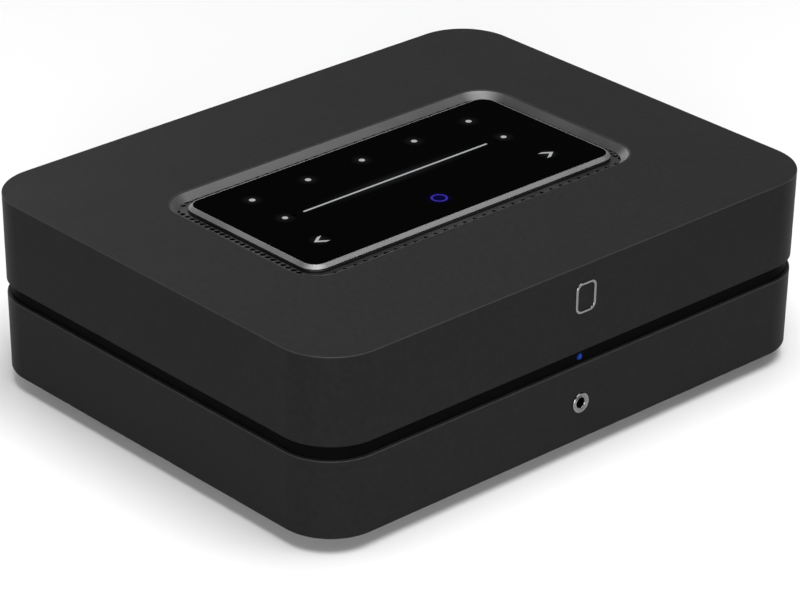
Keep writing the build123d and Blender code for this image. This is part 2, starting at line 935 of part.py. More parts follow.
def make_mains_leads():
    """Two insulated wires from the inlet's tabs to the power supply."""
    x0, x1, y0, y1 = bay_outline(-1)
    start_y = panel_y - inlet_body_l - inlet_tab_l
    leads = []
    for side in (-1, 1):
        x_in = inlet_x + side * inlet_pin_pitch / 2
        x_out = x0 + lead_in_x + side * lead_pitch / 2
        path = FilletPolyline(
            (x_in, start_y, z_inlet),
            (x_in, start_y - lead_run, z_inlet),
            (x_out, y1 + lead_run, z_inlet),
            (x_out, y1, z_inlet),
            radius=lead_bend_r,
        )
        section = Plane(origin=(x_in, start_y, z_inlet), z_dir=(0, -1, 0)) * Circle(lead_r)
        leads.append(sweep(section, path=path))
    return Compound(children=leads)


def make_network_socket():
    x = network_x
    y0 = panel_y - network_l
    socket = block(x - network_w / 2, x + network_w / 2, y0, panel_y, z_parts, z_parts + network_h)
    z0 = z_parts + network_lift
    half = network_cavity_w / 2
    y1 = panel_y - network_cavity_l
    socket -= block(x - half, x + half, y1, panel_y + overrun, z0, z0 + network_cavity_h)
    half = network_latch_w / 2
    return socket - block(x - half, x + half, y1, panel_y + overrun, z0 - network_latch_h, z0)


def make_usb_socket():
    x = usb_x
    z1 = z_parts + usb_h
    y0 = panel_y - usb_depth
    socket = block(x - usb_w / 2, x + usb_w / 2, panel_y - usb_l, panel_y, z_parts, z1)
    half = usb_w / 2 - usb_wall
    socket -= block(x - half, x + half, y0, panel_y + overrun, z_parts + usb_wall, z1 - usb_wall)
    half = usb_tongue_w / 2
    zt = z1 - usb_wall - usb_tongue_drop
    return socket + block(x - half, x + half, y0, panel_y - tongue_back, zt - usb_tongue_t, zt)


def hdmi_outline(inset):
    """A wide opening whose two lower corners are cut away."""
    w = hdmi_w / 2 - inset
    z0 = z_parts + inset
    z1 = z_parts + hdmi_h - inset
    cut = hdmi_corner
    points = [(-w, z1), (w, z1), (w, z0 + cut), (w - cut, z0), (cut - w, z0), (-w, z0 + cut)]
    return Pos(hdmi_x, 0) * Polygon(*points, align=None)


def make_hdmi_socket():
    x = hdmi_x
    half = hdmi_w / 2
    y0 = panel_y - hdmi_depth
    socket = block(x - half, x + half, panel_y - hdmi_l, panel_y, z_parts, z_parts + hdmi_h)
    socket -= prism_y(hdmi_outline(hdmi_wall), y0, panel_y + overrun)
    half = hdmi_tongue_w / 2
    z = z_parts + hdmi_h / 2
    t = hdmi_tongue_t / 2
    return socket + block(x - half, x + half, y0, panel_y - tongue_back, z - t, z + t)


def make_jack_socket(x):
    """A 3.5 mm socket whose round nose stands in the rear panel."""
    z = z_parts + jack_h / 2
    socket = block(x - jack_w / 2, x + jack_w / 2, inside_y - jack_l, inside_y, z_parts, z_parts + jack_h)
    socket += rod_y(x, z, inside_y, panel_y, jack_nose_r)
    return socket - rod_y(x, z, panel_y - jack_depth, panel_y + overrun, jack_bore_r)


def make_subwoofer_socket():
    """A phono socket with its barrel standing out of the rear panel."""
    x = sub_x
    z = z_parts + sub_h / 2
    socket = block(x - sub_w / 2, x + sub_w / 2, inside_y - sub_l, inside_y, z_parts, z_parts + sub_h)
    end = panel_y + sub_barrel_l
    socket += rod_y(x, z, inside_y, end, sub_barrel_r)
    socket += rod_y(x, z, panel_y, panel_y + sub_collar_t, sub_collar_r)
    return socket - rod_y(x, z, end - sub_bore_l, end + overrun, sub_bore_r)


def inlet_outline(grow=0):
    """The inlet's body as it passes through the rear panel."""
    return RectangleRounded(inlet_body_w + 2 * grow, inlet_body_h + 2 * grow, inlet_body_r + grow)


def make_mains_inlet():
    """A two-pin inlet: flange outside, body through the panel, tabs behind."""
    place = Pos(inlet_x, z_inlet)
    face = panel_y + inlet_flange_t
    back = panel_y - inlet_body_l
    flange = place * RectangleRounded(inlet_flange_w, inlet_flange_h, inlet_flange_r)
    inlet = prism_y(flange, panel_y, face)
    inlet += prism_y(place * inlet_outline(), back, panel_y)
    well = place * SlotOverall(inlet_well_w, inlet_well_h)
    floor_y = face - inlet_well_l
    inlet -= prism_y(well, floor_y, face + overrun)
    for side in (-1, 1):
        x = inlet_x + side * inlet_pin_pitch / 2
        inlet += rod_y(x, z_inlet, floor_y - overrun, floor_y + inlet_pin_l, inlet_pin_r)
        w = inlet_tab_w / 2
        t = inlet_tab_t / 2
        inlet += block(x - t, x + t, back - inlet_tab_l, back, z_inlet - w, z_inlet + w)
    return inlet


def make_terminal_block(pair_x):
    """The moulded collar that carries one speaker's two posts."""
    w = pair_pitch + 2 * block_end
    back = inside_y - post_boss_past
    collar = prism_y(Pos(pair_x, z_post) * SlotOverall(w, block_h), panel_y, collar_y)
    for side in (-1, 1):
        x = pair_x + side * pair_pitch / 2
        collar += rod_y(x, z_post, back, panel_y, post_boss_r)
        collar -= rod_y(x, z_post, back - overrun, collar_y + overrun, stud_r + thread_gap)
    return collar


def make_terminal_nuts():
    y1 = inside_y - post_boss_past
    nuts = []
    for x in posts.values():
        nut = Pos(x, z_post) * RegularPolygon(nut_af / 2, 6, major_radius=False)
        nut = prism_y(nut, y1 - nut_t, y1)
        nuts.append(nut - rod_y(x, z_post, y1 - nut_t - overrun, y1 + overrun, stud_r + thread_gap))
    return Compound(children=nuts)


def make_terminal_board():
    """The upright board that the studs' tails are soldered to."""
    y1 = inside_y - post_boss_past - nut_t
    x0 = min(posts.values()) - terminal_board_margin
    x1 = max(posts.values()) + terminal_board_margin
    board = block(x0, x1, y1 - board_t, y1, z_post - terminal_board_margin, z_post + terminal_board_margin)
    for x in posts.values():
        board -= rod_y(x, z_post, y1 - board_t - overrun, y1 + overrun, stud_tail_r + thread_gap)
    return board


def make_stud(x):
    """A hollow-ended brass stud with a cross hole for bare wire."""
    y0 = inside_y - post_boss_past - nut_t
    y1 = knob_y + knob_l - stud_short
    stud = rod_y(x, z_post, y0, y1, stud_r) + rod_y(x, z_post, y0 - stud_tail_l, y0, stud_tail_r)
    stud -= rod_y(x, z_post, y1 - plug_bore_l, y1 + overrun, plug_bore_r)
    return stud - rod_z(x, collar_y + wire_hole_y, z_post - 2 * stud_r, z_post + 2 * stud_r, wire_hole_r)


def make_washer(x):
    washer = rod_y(x, z_post, collar_y, collar_y + washer_t, washer_r)
    return washer - rod_y(x, z_post, collar_y - overrun, knob_y + overrun, stud_r + washer_gap)


def make_knob(x):
    """A fluted clamping knob, turned from a profile and open at its end."""
    bore = stud_r + thread_gap
    neck = knob_r - knob_neck
    profile = Polyline(
        (bore, 0),
        (knob_r, 0),
        (knob_r, knob_skirt_l - knob_neck),
        (neck, knob_skirt_l),
        (knob_r, knob_skirt_l + knob_neck),
        (knob_r, knob_l - knob_chamfer),
        (knob_r - knob_chamfer, knob_l),
        (bore, knob_l),
        close=True,
    )
    knob = revolve(make_face(profile), Axis.Y)
    reach = knob_r + flute_r - flute_depth
    flute = rod_y(reach, 0, knob_skirt_l, knob_l + overrun, flute_r)
    for k in range(flute_count):
        knob -= Rot(0, 360 * k / flute_count, 0) * flute
    return Pos(x, knob_y, z_post) * knob


def phone_back_y():
    """Where the ring ends and the headphone socket begins."""
    return face_y(z_phone) + wall + phone_ring_past


def make_phone_ring():
    """The bright ring round the headphone socket."""
    face = face_y(z_phone) - phone_ring_proud
    ring = rod_y(0, z_phone, face, phone_back_y(), phone_ring_r)
    ring = chamfer(ring.edges().group_by(Axis.Y)[0], phone_ring_bevel)
    return ring - rod_y(0, z_phone, face - overrun, phone_back_y() + overrun, jack_bore_r)


def make_headphone_socket():
    y0 = phone_back_y()
    z0 = z_phone - phone_h / 2
    socket = block(-phone_w / 2, phone_w / 2, y0, y0 + phone_l, z0, z0 + phone_h)
    return socket - rod_y(0, z_phone, y0 - overrun, y0 + phone_depth, jack_bore_r)


def led_leg_y():
    x0, x1, y0, y1 = front_board_outline()
    return y1 - led_back


def make_front_board():
    """The small board behind the front wall, with its light source."""
    x0, x1, y0, y1 = front_board_outline()
    top = front_board_top()
    board = block(x0, x1, y0, y1, top - board_t, top)
    half = led_chip / 2
    return board + block(-half, half, led_leg_y() - half, led_leg_y() + half, top, top + led_chip_h)


def make_light_guide():
    """A clear guide that brings the light from the board up to the seam."""
    y0 = face_y(z_led) + seam_inset - led_proud
    leg = led_leg_y()
    path = FilletPolyline(
        (0, y0, z_led),
        (0, leg, z_led),
        (0, leg, front_board_top() + led_chip_h),
        radius=guide_bend_r,
    )
    return sweep(Plane(origin=(0, y0, z_led), z_dir=(0, 1, 0)) * Circle(led_r), path=path)


def make_emblem():
    """A plain rounded frame, set into a shallow recess in the front face."""
    outline = RectangleRounded(emblem_w, emblem_h, emblem_r)
    inner = 2 * emblem_line
    outline -= RectangleRounded(emblem_w - inner, emblem_h - inner, emblem_r - emblem_line)
    return extrude(emblem_plane(-emblem_sunk) * outline, emblem_sunk + emblem_proud)


parts = {
    "upper_shell": make_upper_shell(),
    "lower_shell": make_lower_shell(),
    "seam_frame": make_seam_frame(),
    "well_liner": make_well_liner(),
    "vent_mesh": make_vent_mesh(),
    "panel_frame": make_panel_frame(),
    "touch_glass": make_touch_glass(),
    "touch_board": make_touch_board(),
    "panel_carrier": make_panel_carrier(),
    "panel_flex_cable": make_panel_flex(),
    "rear_panel": make_rear_panel(),
    "case_screws": make_case_screws(),
    "carrier_screws": make_carrier_screws(),
    "rear_screws": make_rear_screws(),
    "board_screws": make_board_screws(),
    "main_board": make_main_board(),
    "amplifier_board": make_amplifier_board(),
    "thermal_pad": make_thermal_pad(),
    "heatsink": make_heatsink(),
    "output_chokes": make_chokes(),
    "power_board": make_power_board(),
    "transformer": make_transformer(),
    "capacitors": make_capacitors(),
    "insulating_sheet": make_insulating_sheet(),
    "wireless_module": make_wireless_module(),
    "antennas": make_antennas(),
    "mains_leads": make_mains_leads(),
    "network_socket": make_network_socket(),
    "usb_socket": make_usb_socket(),
    "hdmi_socket": make_hdmi_socket(),
    "infrared_socket": make_jack_socket(infrared_x),
    "audio_in_socket": make_jack_socket(audio_x),
    "subwoofer_socket": make_subwoofer_socket(),
    "mains_inlet": make_mains_inlet(),
    "left_terminal_block": make_terminal_block(pair_x_left),
    "right_terminal_block": make_terminal_block(pair_x_right),
    "terminal_nuts": make_terminal_nuts(),
    "terminal_board": make_terminal_board(),
    "headphone_ring": make_phone_ring(),
    "headphone_socket": make_headphone_socket(),
    "front_board": make_front_board(),
    "light_guide": make_light_guide(),
    "front_emblem": make_emblem(),
}
for name, x in posts.items():
    parts[name + "_stud"] = make_stud(x)
    parts[name + "_washer"] = make_washer(x)
    parts[name + "_knob"] = make_knob(x)
foot_names = ("foot_front_left", "foot_rear_left", "foot_front_right", "foot_rear_right")
for name, (x, y) in zip(foot_names, four(body_w / 2 - foot_in_x, body_d / 2 - foot_in_y)):
    parts[name] = make_foot(x, y)

for name, shape in parts.items():
    export_step(shape, "parts/" + name + ".step")
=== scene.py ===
import json
from math import atan, cos, hypot, pi, radians, sin, sqrt, tan

import bmesh
import bpy
from mathutils import Matrix, Vector


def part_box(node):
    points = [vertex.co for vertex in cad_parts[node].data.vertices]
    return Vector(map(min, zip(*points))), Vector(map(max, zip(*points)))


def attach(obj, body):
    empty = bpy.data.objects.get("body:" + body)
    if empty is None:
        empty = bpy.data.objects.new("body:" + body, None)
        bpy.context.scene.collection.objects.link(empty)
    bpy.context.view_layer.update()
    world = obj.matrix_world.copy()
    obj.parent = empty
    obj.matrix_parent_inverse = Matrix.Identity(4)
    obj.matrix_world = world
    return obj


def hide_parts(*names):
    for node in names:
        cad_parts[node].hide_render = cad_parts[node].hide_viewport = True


# Looks of the network music streamer, in metres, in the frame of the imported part.
# +X is the right of someone facing the front, +Y goes to the rear, +Z is up.

MM = 0.001

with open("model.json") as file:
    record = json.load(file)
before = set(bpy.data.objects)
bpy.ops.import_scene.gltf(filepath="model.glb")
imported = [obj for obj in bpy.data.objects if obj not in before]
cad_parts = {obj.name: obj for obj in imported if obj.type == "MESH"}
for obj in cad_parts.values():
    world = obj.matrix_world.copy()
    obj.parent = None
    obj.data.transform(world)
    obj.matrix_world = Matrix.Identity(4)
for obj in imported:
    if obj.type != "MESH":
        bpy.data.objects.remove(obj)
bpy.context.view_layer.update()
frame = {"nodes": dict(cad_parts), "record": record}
nodes = frame["nodes"]


def mm(*values):
    """Lengths in metres, from several in millimetres."""
    return [value * MM for value in values]


# Boxes of the solids that give the other pieces their places
lid_lo, lid_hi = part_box("upper_shell")
tray_lo, tray_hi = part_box("lower_shell")
liner_lo, liner_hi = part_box("well_liner")
bezel_lo, bezel_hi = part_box("panel_frame")
glass_lo, glass_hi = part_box("touch_glass")
rear_lo, rear_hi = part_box("rear_panel")
block_lo, block_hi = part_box("left_terminal_block")
guide_lo, guide_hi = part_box("light_guide")
inlet_lo, inlet_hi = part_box("mains_inlet")

# Housing, the same sizes as the solids
slope = tan(radians(1.04))
wall, body_d, corner_r, seam_h = mm(2.4, 172.5, 19.7, 5)
top_break, base_break, rim_break = mm(0.3, 0.7, 0.26)
seam_inset, tongue_h, tongue_in, tongue_t = mm(1.33, 3, 2.6, 2)
body_w = lid_hi.x - lid_lo.x
mid_y = (liner_lo.y + liner_hi.y) / 2
front_y = mid_y - body_d / 2
back_y = mid_y + body_d / 2
top_z = lid_hi.z
lid_z = top_z - wall
base_z = tray_lo.z
floor_z = base_z + wall
rim_z = tray_hi.z
skirt_z = rim_z + seam_h
plan_steps = 24
hole_gap, seam_gap, round_gap, tiny_r = mm(0.1, 0.3, 0.01, 0.1)

# Floor of the housing
slot_x, slot_l, slot_w, slot_pitch = mm(53, 44, 2.6, 6)
slot_y = mid_y - 34 * MM
slot_count = 6
foot_seat = 1 * MM
feet = ("foot_front_left", "foot_rear_left", "foot_front_right", "foot_rear_right")
case_x, case_y, case_boss_r, case_sink_r, case_sink = mm(96, 71.75, 4, 3.1, 7)
case_head = mm(2.8, 2.4)
case_places = [(sx * case_x, mid_y + sy * case_y) for sx in (-1, 1) for sy in (-1, 1)]
screw_r = 1.5 * MM

# Well and panel: the band slopes from the lid's edge down to the sheet
well_w, well_d, well_r, well_cut, well_round = mm(146, 76.2, 11, 0.8, 0.5)
slope_top, slope_depth, slope_in, slope_gap = mm(0.25, 2.5, 1.9, 0.06)
mesh_t, mesh_edge, hole_r, hole_pitch, hole_land = mm(0.5, 0.06, 0.93, 2.5, 0.25)
panel_w, panel_d, panel_r = mm(136, 65.4, 6.3)
bevel, groove_h, groove_in = mm(1.15, 0.45, 0.5)
glass_w, glass_d, glass_r, glass_t, glass_gap, glass_shelf = mm(133, 62.6, 4.8, 1.1, 0.05, 1.6)
mark_t, halo_r = mm(0.03, 4.2)

# Front
ring_bore = 1.8 * MM
guide_r = 1.3 * MM
guide_z = guide_hi.z - guide_r
emblem_w, emblem_h, emblem_r, emblem_line = mm(9, 11, 2.6, 1)

# Rear
panel_y = rear_hi.y
inside_y = rear_lo.y
flange_y = inside_y + 1.8 * MM
flange_w, window_half, window_r, window_gap, panel_edge = mm(2.5, 86, 3, 0.2, 0.25)
window_z0 = base_z + 5.2 * MM
window_z1 = top_z - 7 * MM
screw_in, rear_bite, screw_hole_gap = mm(6, 5.7, 0.3)
rear_screw_x = window_half - screw_in
rear_places = [(sx * rear_screw_x, z) for sx in (-1, 1) for z in (window_z0 + screw_in, window_z1 - screw_in)]
rear_head = mm(2.7, 1.6)
socket_gap, shell_r, mouth_r = mm(0.2, 0.5, 0.4)
round_mouths = {"infrared_socket": (3.2, 32), "audio_in_socket": (3.2, 32), "subwoofer_socket": (4.35, 36)}
inlet_x = (inlet_lo.x + inlet_hi.x) / 2
inlet_z = (inlet_lo.z + inlet_hi.z) / 2
inlet_flange = mm(25, 15, 3.8)
inlet_body = mm(20.6, 12.2, 4)
inlet_well = mm(17.4, 9, 4.49)

# Speaker posts
posts = ("left_plus", "left_minus", "right_plus", "right_minus")
post_x = {}
for post in posts:
    stud_lo, stud_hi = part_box(post + "_stud")
    post_x[post] = (stud_lo.x + stud_hi.x) / 2
collar_y = block_hi.y
post_z = (block_lo.z + block_hi.z) / 2
post_at = {post: (x, 0, post_z) for post, x in post_x.items()}
post_boss_r, collar_edge = mm(5, 0.7)
stud_r, stud_gap, washer_gap = mm(3, 0.05, 0.08)
tail_r, tail_l, plug_bore_r, plug_bore_l, plug_cone = mm(1.5, 5, 2, 12, 0.6)
wire_hole_r, wire_hole_y = mm(1, 1.3)
thread_pitch, thread_h = mm(1, 0.28)
thread_rows = 6
flute_count = 10
flute_r, flute_depth, skirt_l, neck_h, knob_round = mm(1.1, 0.55, 2.6, 0.6, 0.8)
post_edge, washer_edge = mm(0.3, 0.25)


# Outlines and meshes

def rounded_rect(w, h, r, steps=16, cx=0.0, cy=0.0):
    """The points of a rectangle with round corners, anticlockwise from its right side."""
    points = []
    for x, y, start in (
        (w / 2 - r, -h / 2 + r, -90), (w / 2 - r, h / 2 - r, 0),
        (-w / 2 + r, h / 2 - r, 90), (-w / 2 + r, -h / 2 + r, 180),
    ):
        points += arc(cx + x, cy + y, r, start, start + 90, steps)
    return points


def circle(cx, cy, r, steps=14):
    return [
        (cx + r * cos(2 * pi * k / steps), cy + r * sin(2 * pi * k / steps))
        for k in range(steps)
    ]


def box_outline(lo, hi, grow, r):
    """The outline of a solid's box as it is seen from the rear, on X and Z."""
    w = hi.x - lo.x + 2 * grow
    h = hi.z - lo.z + 2 * grow
    return rounded_rect(w, h, r, 4, (lo.x + hi.x) / 2, (lo.z + hi.z) / 2)


def extent(node):
    """The lower and upper corners of a solid's box, and its middle."""
    lo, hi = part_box(node)
    return lo, hi, (Vector(lo) + Vector(hi)) / 2


def plan_loop(w, d, r, z, steps):
    """A rounded rectangle at a height, centred on the housing's plan."""
    return [(x, mid_y + y, z) for x, y in rounded_rect(w, d, r, steps)]


def body_loop(inset, z):
    """The housing's drafted outline at a height, moved in by inset."""
    i = (top_z - z) * slope + inset
    return plan_loop(body_w - 2 * i, body_d - 2 * i, corner_r - i, z, plan_steps)


def arc(cx, cz, r, a0, a1, steps=5):
    """Points of an arc, from one angle to another."""
    points = []
    for k in range(steps + 1):
        a = radians(a0 + (a1 - a0) * k / steps)
        points.append((cx + r * cos(a), cz + r * sin(a)))
    return points


def new_object(name, data):
    piece = bpy.data.objects.new(name, data)
    bpy.context.scene.collection.objects.link(piece)
    return piece


def to_mesh(name, bm):
    """A mesh from a bmesh, which is then freed."""
    mesh = bpy.data.meshes.new(name)
    bm.to_mesh(mesh)
    bm.free()
    return mesh


def skin(name, loops, closed=False):
    """A surface through loops of equal length, closed on itself or capped at its ends."""
    bm = bmesh.new()
    rows = [[bm.verts.new(p) for p in loop] for loop in loops]
    count = len(rows[0])
    pairs = list(zip(rows, rows[1:]))
    if closed:
        pairs.append((rows[-1], rows[0]))
    for low, high in pairs:
        for i in range(count):
            j = (i + 1) % count
            bm.faces.new((low[i], low[j], high[j], high[i]))
    if not closed:
        bm.faces.new(list(reversed(rows[0])))
        bm.faces.new(rows[-1])
    bmesh.ops.recalc_face_normals(bm, faces=bm.faces)
    return new_object(name, to_mesh(name, bm))


def plan_loops(profile, w, d, r, steps):
    """Loops round the plan from (inset, z) points, for a rounded rectangle of this size."""
    return [plan_loop(w - 2 * i, d - 2 * i, r - i, z, steps) for i, z in profile]


def lathe(name, profile, centre, axis="Y", steps=64, radius=None, solid=False):
    """A round piece from (r, distance) points along an axis: a tube, or solid with capped ends."""
    loops = []
    for r, t in profile:
        loop = []
        for k in range(steps):
            a = 2 * pi * k / steps
            out = radius(r, t, a) if radius else r
            u, v = out * cos(a), out * sin(a)
            loop.append(Vector(centre) + Vector((u, t, v) if axis == "Y" else (u, v, t)))
        loops.append(loop)
    return skin(name, loops, closed=not solid)


def prism(outline, axis, a0, a1):
    """An outline made solid along Y, where it is drawn on X and Z, or along Z."""
    ends = [[(u, a, v) if axis == "Y" else (u, v, a) for u, v in outline] for a in (a0, a1)]
    return skin("prism", ends)


def flat_piece(name, outlines, plane, thickness, edge=0.0, resolution=3):
    """A plate from closed outlines, the first round the others, which are holes. Edge rounds its rims."""
    curve = bpy.data.curves.new(name, "CURVE")
    curve.dimensions = "2D"
    curve.fill_mode = "BOTH"
    curve.extrude = thickness / 2 - edge
    curve.bevel_depth = edge
    curve.bevel_resolution = resolution if edge else 0
    curve.offset = -edge
    for outline in outlines:
        spline = curve.splines.new("POLY")
        spline.points.add(len(outline) - 1)
        for point, (x, y) in zip(spline.points, outline):
            point.co = (x, y, 0, 1)
        spline.use_cyclic_u = True
    temp = new_object(name + "_curve", curve)
    graph = bpy.context.evaluated_depsgraph_get()
    mesh = bpy.data.meshes.new_from_object(temp.evaluated_get(graph))
    mesh.transform(plane)
    bpy.data.objects.remove(temp)
    bm = bmesh.new()
    bm.from_mesh(mesh)
    bmesh.ops.remove_doubles(bm, verts=bm.verts, dist=0.001 * MM)
    bmesh.ops.recalc_face_normals(bm, faces=bm.faces)
    return new_object(name, to_mesh(name, bm))


def plate_y(outlines, y0, y1, edge=0.0):
    """A plate that faces the rear, from outlines drawn on X and Z."""
    plane = Matrix.Translation((0, (y0 + y1) / 2, 0)) @ Matrix.Rotation(radians(90), 4, "X")
    return flat_piece("plate", outlines, plane, y1 - y0, edge)


def hollow_block(outline, mouth, y_back, y_floor, y_face, edge):
    """A block with a blind opening towards the rear."""
    walls = plate_y([outline, mouth], y_floor, y_face, edge)
    return [walls, plate_y([outline], y_back, y_floor + edge)]


def cut(piece, cutters):
    """Cuts pieces out of a piece, and removes them."""
    for cutter in cutters:
        step = piece.modifiers.new("cut", "BOOLEAN")
        step.operation = "DIFFERENCE"
        step.solver = "EXACT"
        step.object = cutter
    graph = bpy.context.evaluated_depsgraph_get()
    mesh = bpy.data.meshes.new_from_object(piece.evaluated_get(graph))
    piece.modifiers.clear()
    piece.data = mesh
    for cutter in cutters:
        bpy.data.objects.remove(cutter)
    return piece


def join(name, pieces):
    """Several meshes as one object, with each one's material kept."""
    bm = bmesh.new()
    materials = []
    for piece in pieces:
        start = len(bm.faces)
        bm.from_mesh(piece.data)
        bm.faces.ensure_lookup_table()
        for face in bm.faces[start:]:
            source = piece.data.materials[face.material_index] if piece.data.materials else None
            if source not in materials:
                materials.append(source)
            face.material_index = materials.index(source)
        bpy.data.objects.remove(piece)
    mesh = to_mesh(name, bm)
    for material in materials:
        mesh.materials.append(material)
    return new_object(name, mesh)


def coat(pieces, material):
    """Gives loose pieces their material before they are joined."""
    for piece in pieces:
        piece.data.materials.clear()
        piece.data.materials.append(material)
    return pieces


def dress(piece, material, node="", body="housing", angle=32):
    """Gives a piece its finish, smooth shading and its body, and hides the solid that it stands for."""
    if material is not None:
        coat([piece], material)
    for polygon in piece.data.polygons:
        polygon.use_smooth = True
    piece.data.set_sharp_from_angle(angle=radians(angle))
    step = piece.modifiers.new("normals", "WEIGHTED_NORMAL")
    step.keep_sharp = True
    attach(piece, body)
    if node:
        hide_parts(node)


def build(node, pieces, ending="_built"):
    """Joins coated pieces into the form that stands for one solid."""
    dress(join(node + ending, pieces), None, node)


def paint_edge_highlight(piece, material, highlight, z0, z1):
    """Gives a piece one finish, and its sloping faces between two heights another, lighter one: a painted
    highlight on an edge break.
    """
    coat([piece], material)
    piece.data.materials.append(highlight)
    for polygon in piece.data.polygons:
        sloping = 0.05 < polygon.normal.z < 0.98
        polygon.material_index = 1 if sloping and z0 < polygon.center.z < z1 else 0


# Materials

finishes = {}


def shader(name):
    """A new finish, also kept under its name, and its node tree and main shader."""
    material = bpy.data.materials.new(name + "_finish")
    material.use_nodes = True
    finishes[name] = material
    tree = material.node_tree
    return material, tree, tree.nodes["Principled BSDF"]


def link(source, target):
    source.id_data.links.new(source, target)


def mapped(tree, source, location, scale):
    """A texture coordinate, scaled and then moved."""
    coordinate = tree.nodes.new("ShaderNodeTexCoord")
    mapping = tree.nodes.new("ShaderNodeMapping")
    mapping.inputs["Location"].default_value = location
    mapping.inputs["Scale"].default_value = scale
    link(coordinate.outputs[source], mapping.inputs["Vector"])
    return mapping.outputs["Vector"]


def calculate(tree, operation, *sources):
    """A maths node on one or two sockets."""
    node = tree.nodes.new("ShaderNodeMath")
    node.operation = operation
    for source, target in zip(sources, node.inputs):
        link(source, target)
    return node


def noise(tree, scale, detail=3.0, stretch=(1, 1, 1)):
    """Noise in the part's own coordinates, with features of about 1 / scale metres."""
    texture = tree.nodes.new("ShaderNodeTexNoise")
    texture.inputs["Scale"].default_value = scale
    texture.inputs["Detail"].default_value = detail
    link(mapped(tree, "Object", (0, 0, 0), stretch), texture.inputs["Vector"])
    return texture.outputs["Fac"]


def ramp(tree, source, low, high, start=0.3, end=0.7):
    """A colour between two ends of a texture."""
    node = tree.nodes.new("ShaderNodeValToRGB")
    for element, position, colour in zip(node.color_ramp.elements, (start, end), (low, high)):
        element.position = position
        element.color = (*colour, 1)
    link(source, node.inputs["Fac"])
    return node.outputs["Color"]


def spread(tree, source, low, high, start=0.3, end=0.7):
    """A number between two ends of a texture."""
    node = tree.nodes.new("ShaderNodeMapRange")
    for name, value in (("From Min", start), ("From Max", end), ("To Min", low), ("To Max", high)):
        node.inputs[name].default_value = value
    link(source, node.inputs["Value"])
    return node.outputs["Result"]


def grey(level):
    return (level, level, level)


def varied(colour, amount):
    """A colour's darker and lighter ends."""
    return [[c * (1 + sign * amount) for c in colour] for sign in (-1, 1)]


def bumped(tree, bsdf, source, strength, distance):
    node = tree.nodes.new("ShaderNodeBump")
    node.inputs["Strength"].default_value = strength
    node.inputs["Distance"].default_value = distance
    link(source, node.inputs["Height"])
    link(node.outputs["Normal"], bsdf.inputs["Normal"])


def moulded(name, colour, roughness=0.5, grain=0.22 * MM, ior=1.3, vary=0.1):
    """Textured moulded plastic: a fine spark-eroded grain and a slight mottle."""
    material, tree, bsdf = shader(name)
    link(ramp(tree, noise(tree, 1 / (9 * grain)), *varied(colour, vary)), bsdf.inputs["Base Color"])
    link(spread(tree, noise(tree, 40), roughness - 0.03, roughness + 0.03), bsdf.inputs["Roughness"])
    bsdf.inputs["IOR"].default_value = ior
    bumped(tree, bsdf, noise(tree, 1 / grain, 2.0), 0.5, 0.012 * MM)
    return material


def metal(name, colour, roughness=0.3, stretch=(1, 1, 1), depth=0.003 * MM, vary=0.08):
    """Metal with a fine or drawn-out grain and patches that are slightly duller."""
    material, tree, bsdf = shader(name)
    fine = noise(tree, 1 / (0.15 * MM), 2.0, stretch)
    link(ramp(tree, fine, *varied(colour, vary)), bsdf.inputs["Base Color"])
    link(spread(tree, noise(tree, 60), roughness * 0.85, roughness * 1.15), bsdf.inputs["Roughness"])
    bsdf.inputs["Metallic"].default_value = 1.0
    bumped(tree, bsdf, fine, 0.4, depth)
    return material


def glossy(name, colour, roughness=0.06, ior=1.45):
    """Smooth glass or plastic whose polish varies a little."""
    material, tree, bsdf = shader(name)
    link(ramp(tree, noise(tree, 25), *varied(colour, 0.1)), bsdf.inputs["Base Color"])
    link(spread(tree, noise(tree, 35), roughness * 0.7, roughness * 1.4), bsdf.inputs["Roughness"])
    bsdf.inputs["IOR"].default_value = ior
    return material


def lit(name, colour, base):
    """A marking that shines a little unevenly."""
    material, tree, bsdf = shader(name)
    bsdf.inputs["Base Color"].default_value = (*base, 1)
    link(ramp(tree, noise(tree, 900), varied(colour, 0.12)[0], colour), bsdf.inputs["Emission Color"])
    bsdf.inputs["Emission Strength"].default_value = 1.0
    bsdf.inputs["Roughness"].default_value = 0.4
    bsdf.inputs["IOR"].default_value = 1.05
    return material


def glow(name, colour, strength, base, source, location, scale, power):
    """A light that fades from its middle to its edge, where a scaled coordinate is 1 long."""
    material, tree, bsdf = shader(name)
    length = tree.nodes.new("ShaderNodeVectorMath")
    length.operation = "LENGTH"
    link(mapped(tree, source, location, scale), length.inputs[0])
    fade = calculate(tree, "POWER", spread(tree, length.outputs["Value"], 1, 0, 0, 1))
    fade.inputs[1].default_value = power
    link(spread(tree, fade.outputs[0], 0, strength, 0, 1), bsdf.inputs["Emission Strength"])
    bsdf.inputs["Base Color"].default_value = (*base, 1)
    bsdf.inputs["Emission Color"].default_value = (*colour, 1)
    bsdf.inputs["Roughness"].default_value = 0.1
    bsdf.inputs["IOR"].default_value = 1.05
    return material


def halo(name, colour, strength):
    """A glow that fades over the box of the flat piece that wears it."""
    return glow(name, colour, strength, grey(0.0006), "Generated", (-1, -1, 0), (2, 2, 0), 1.6)


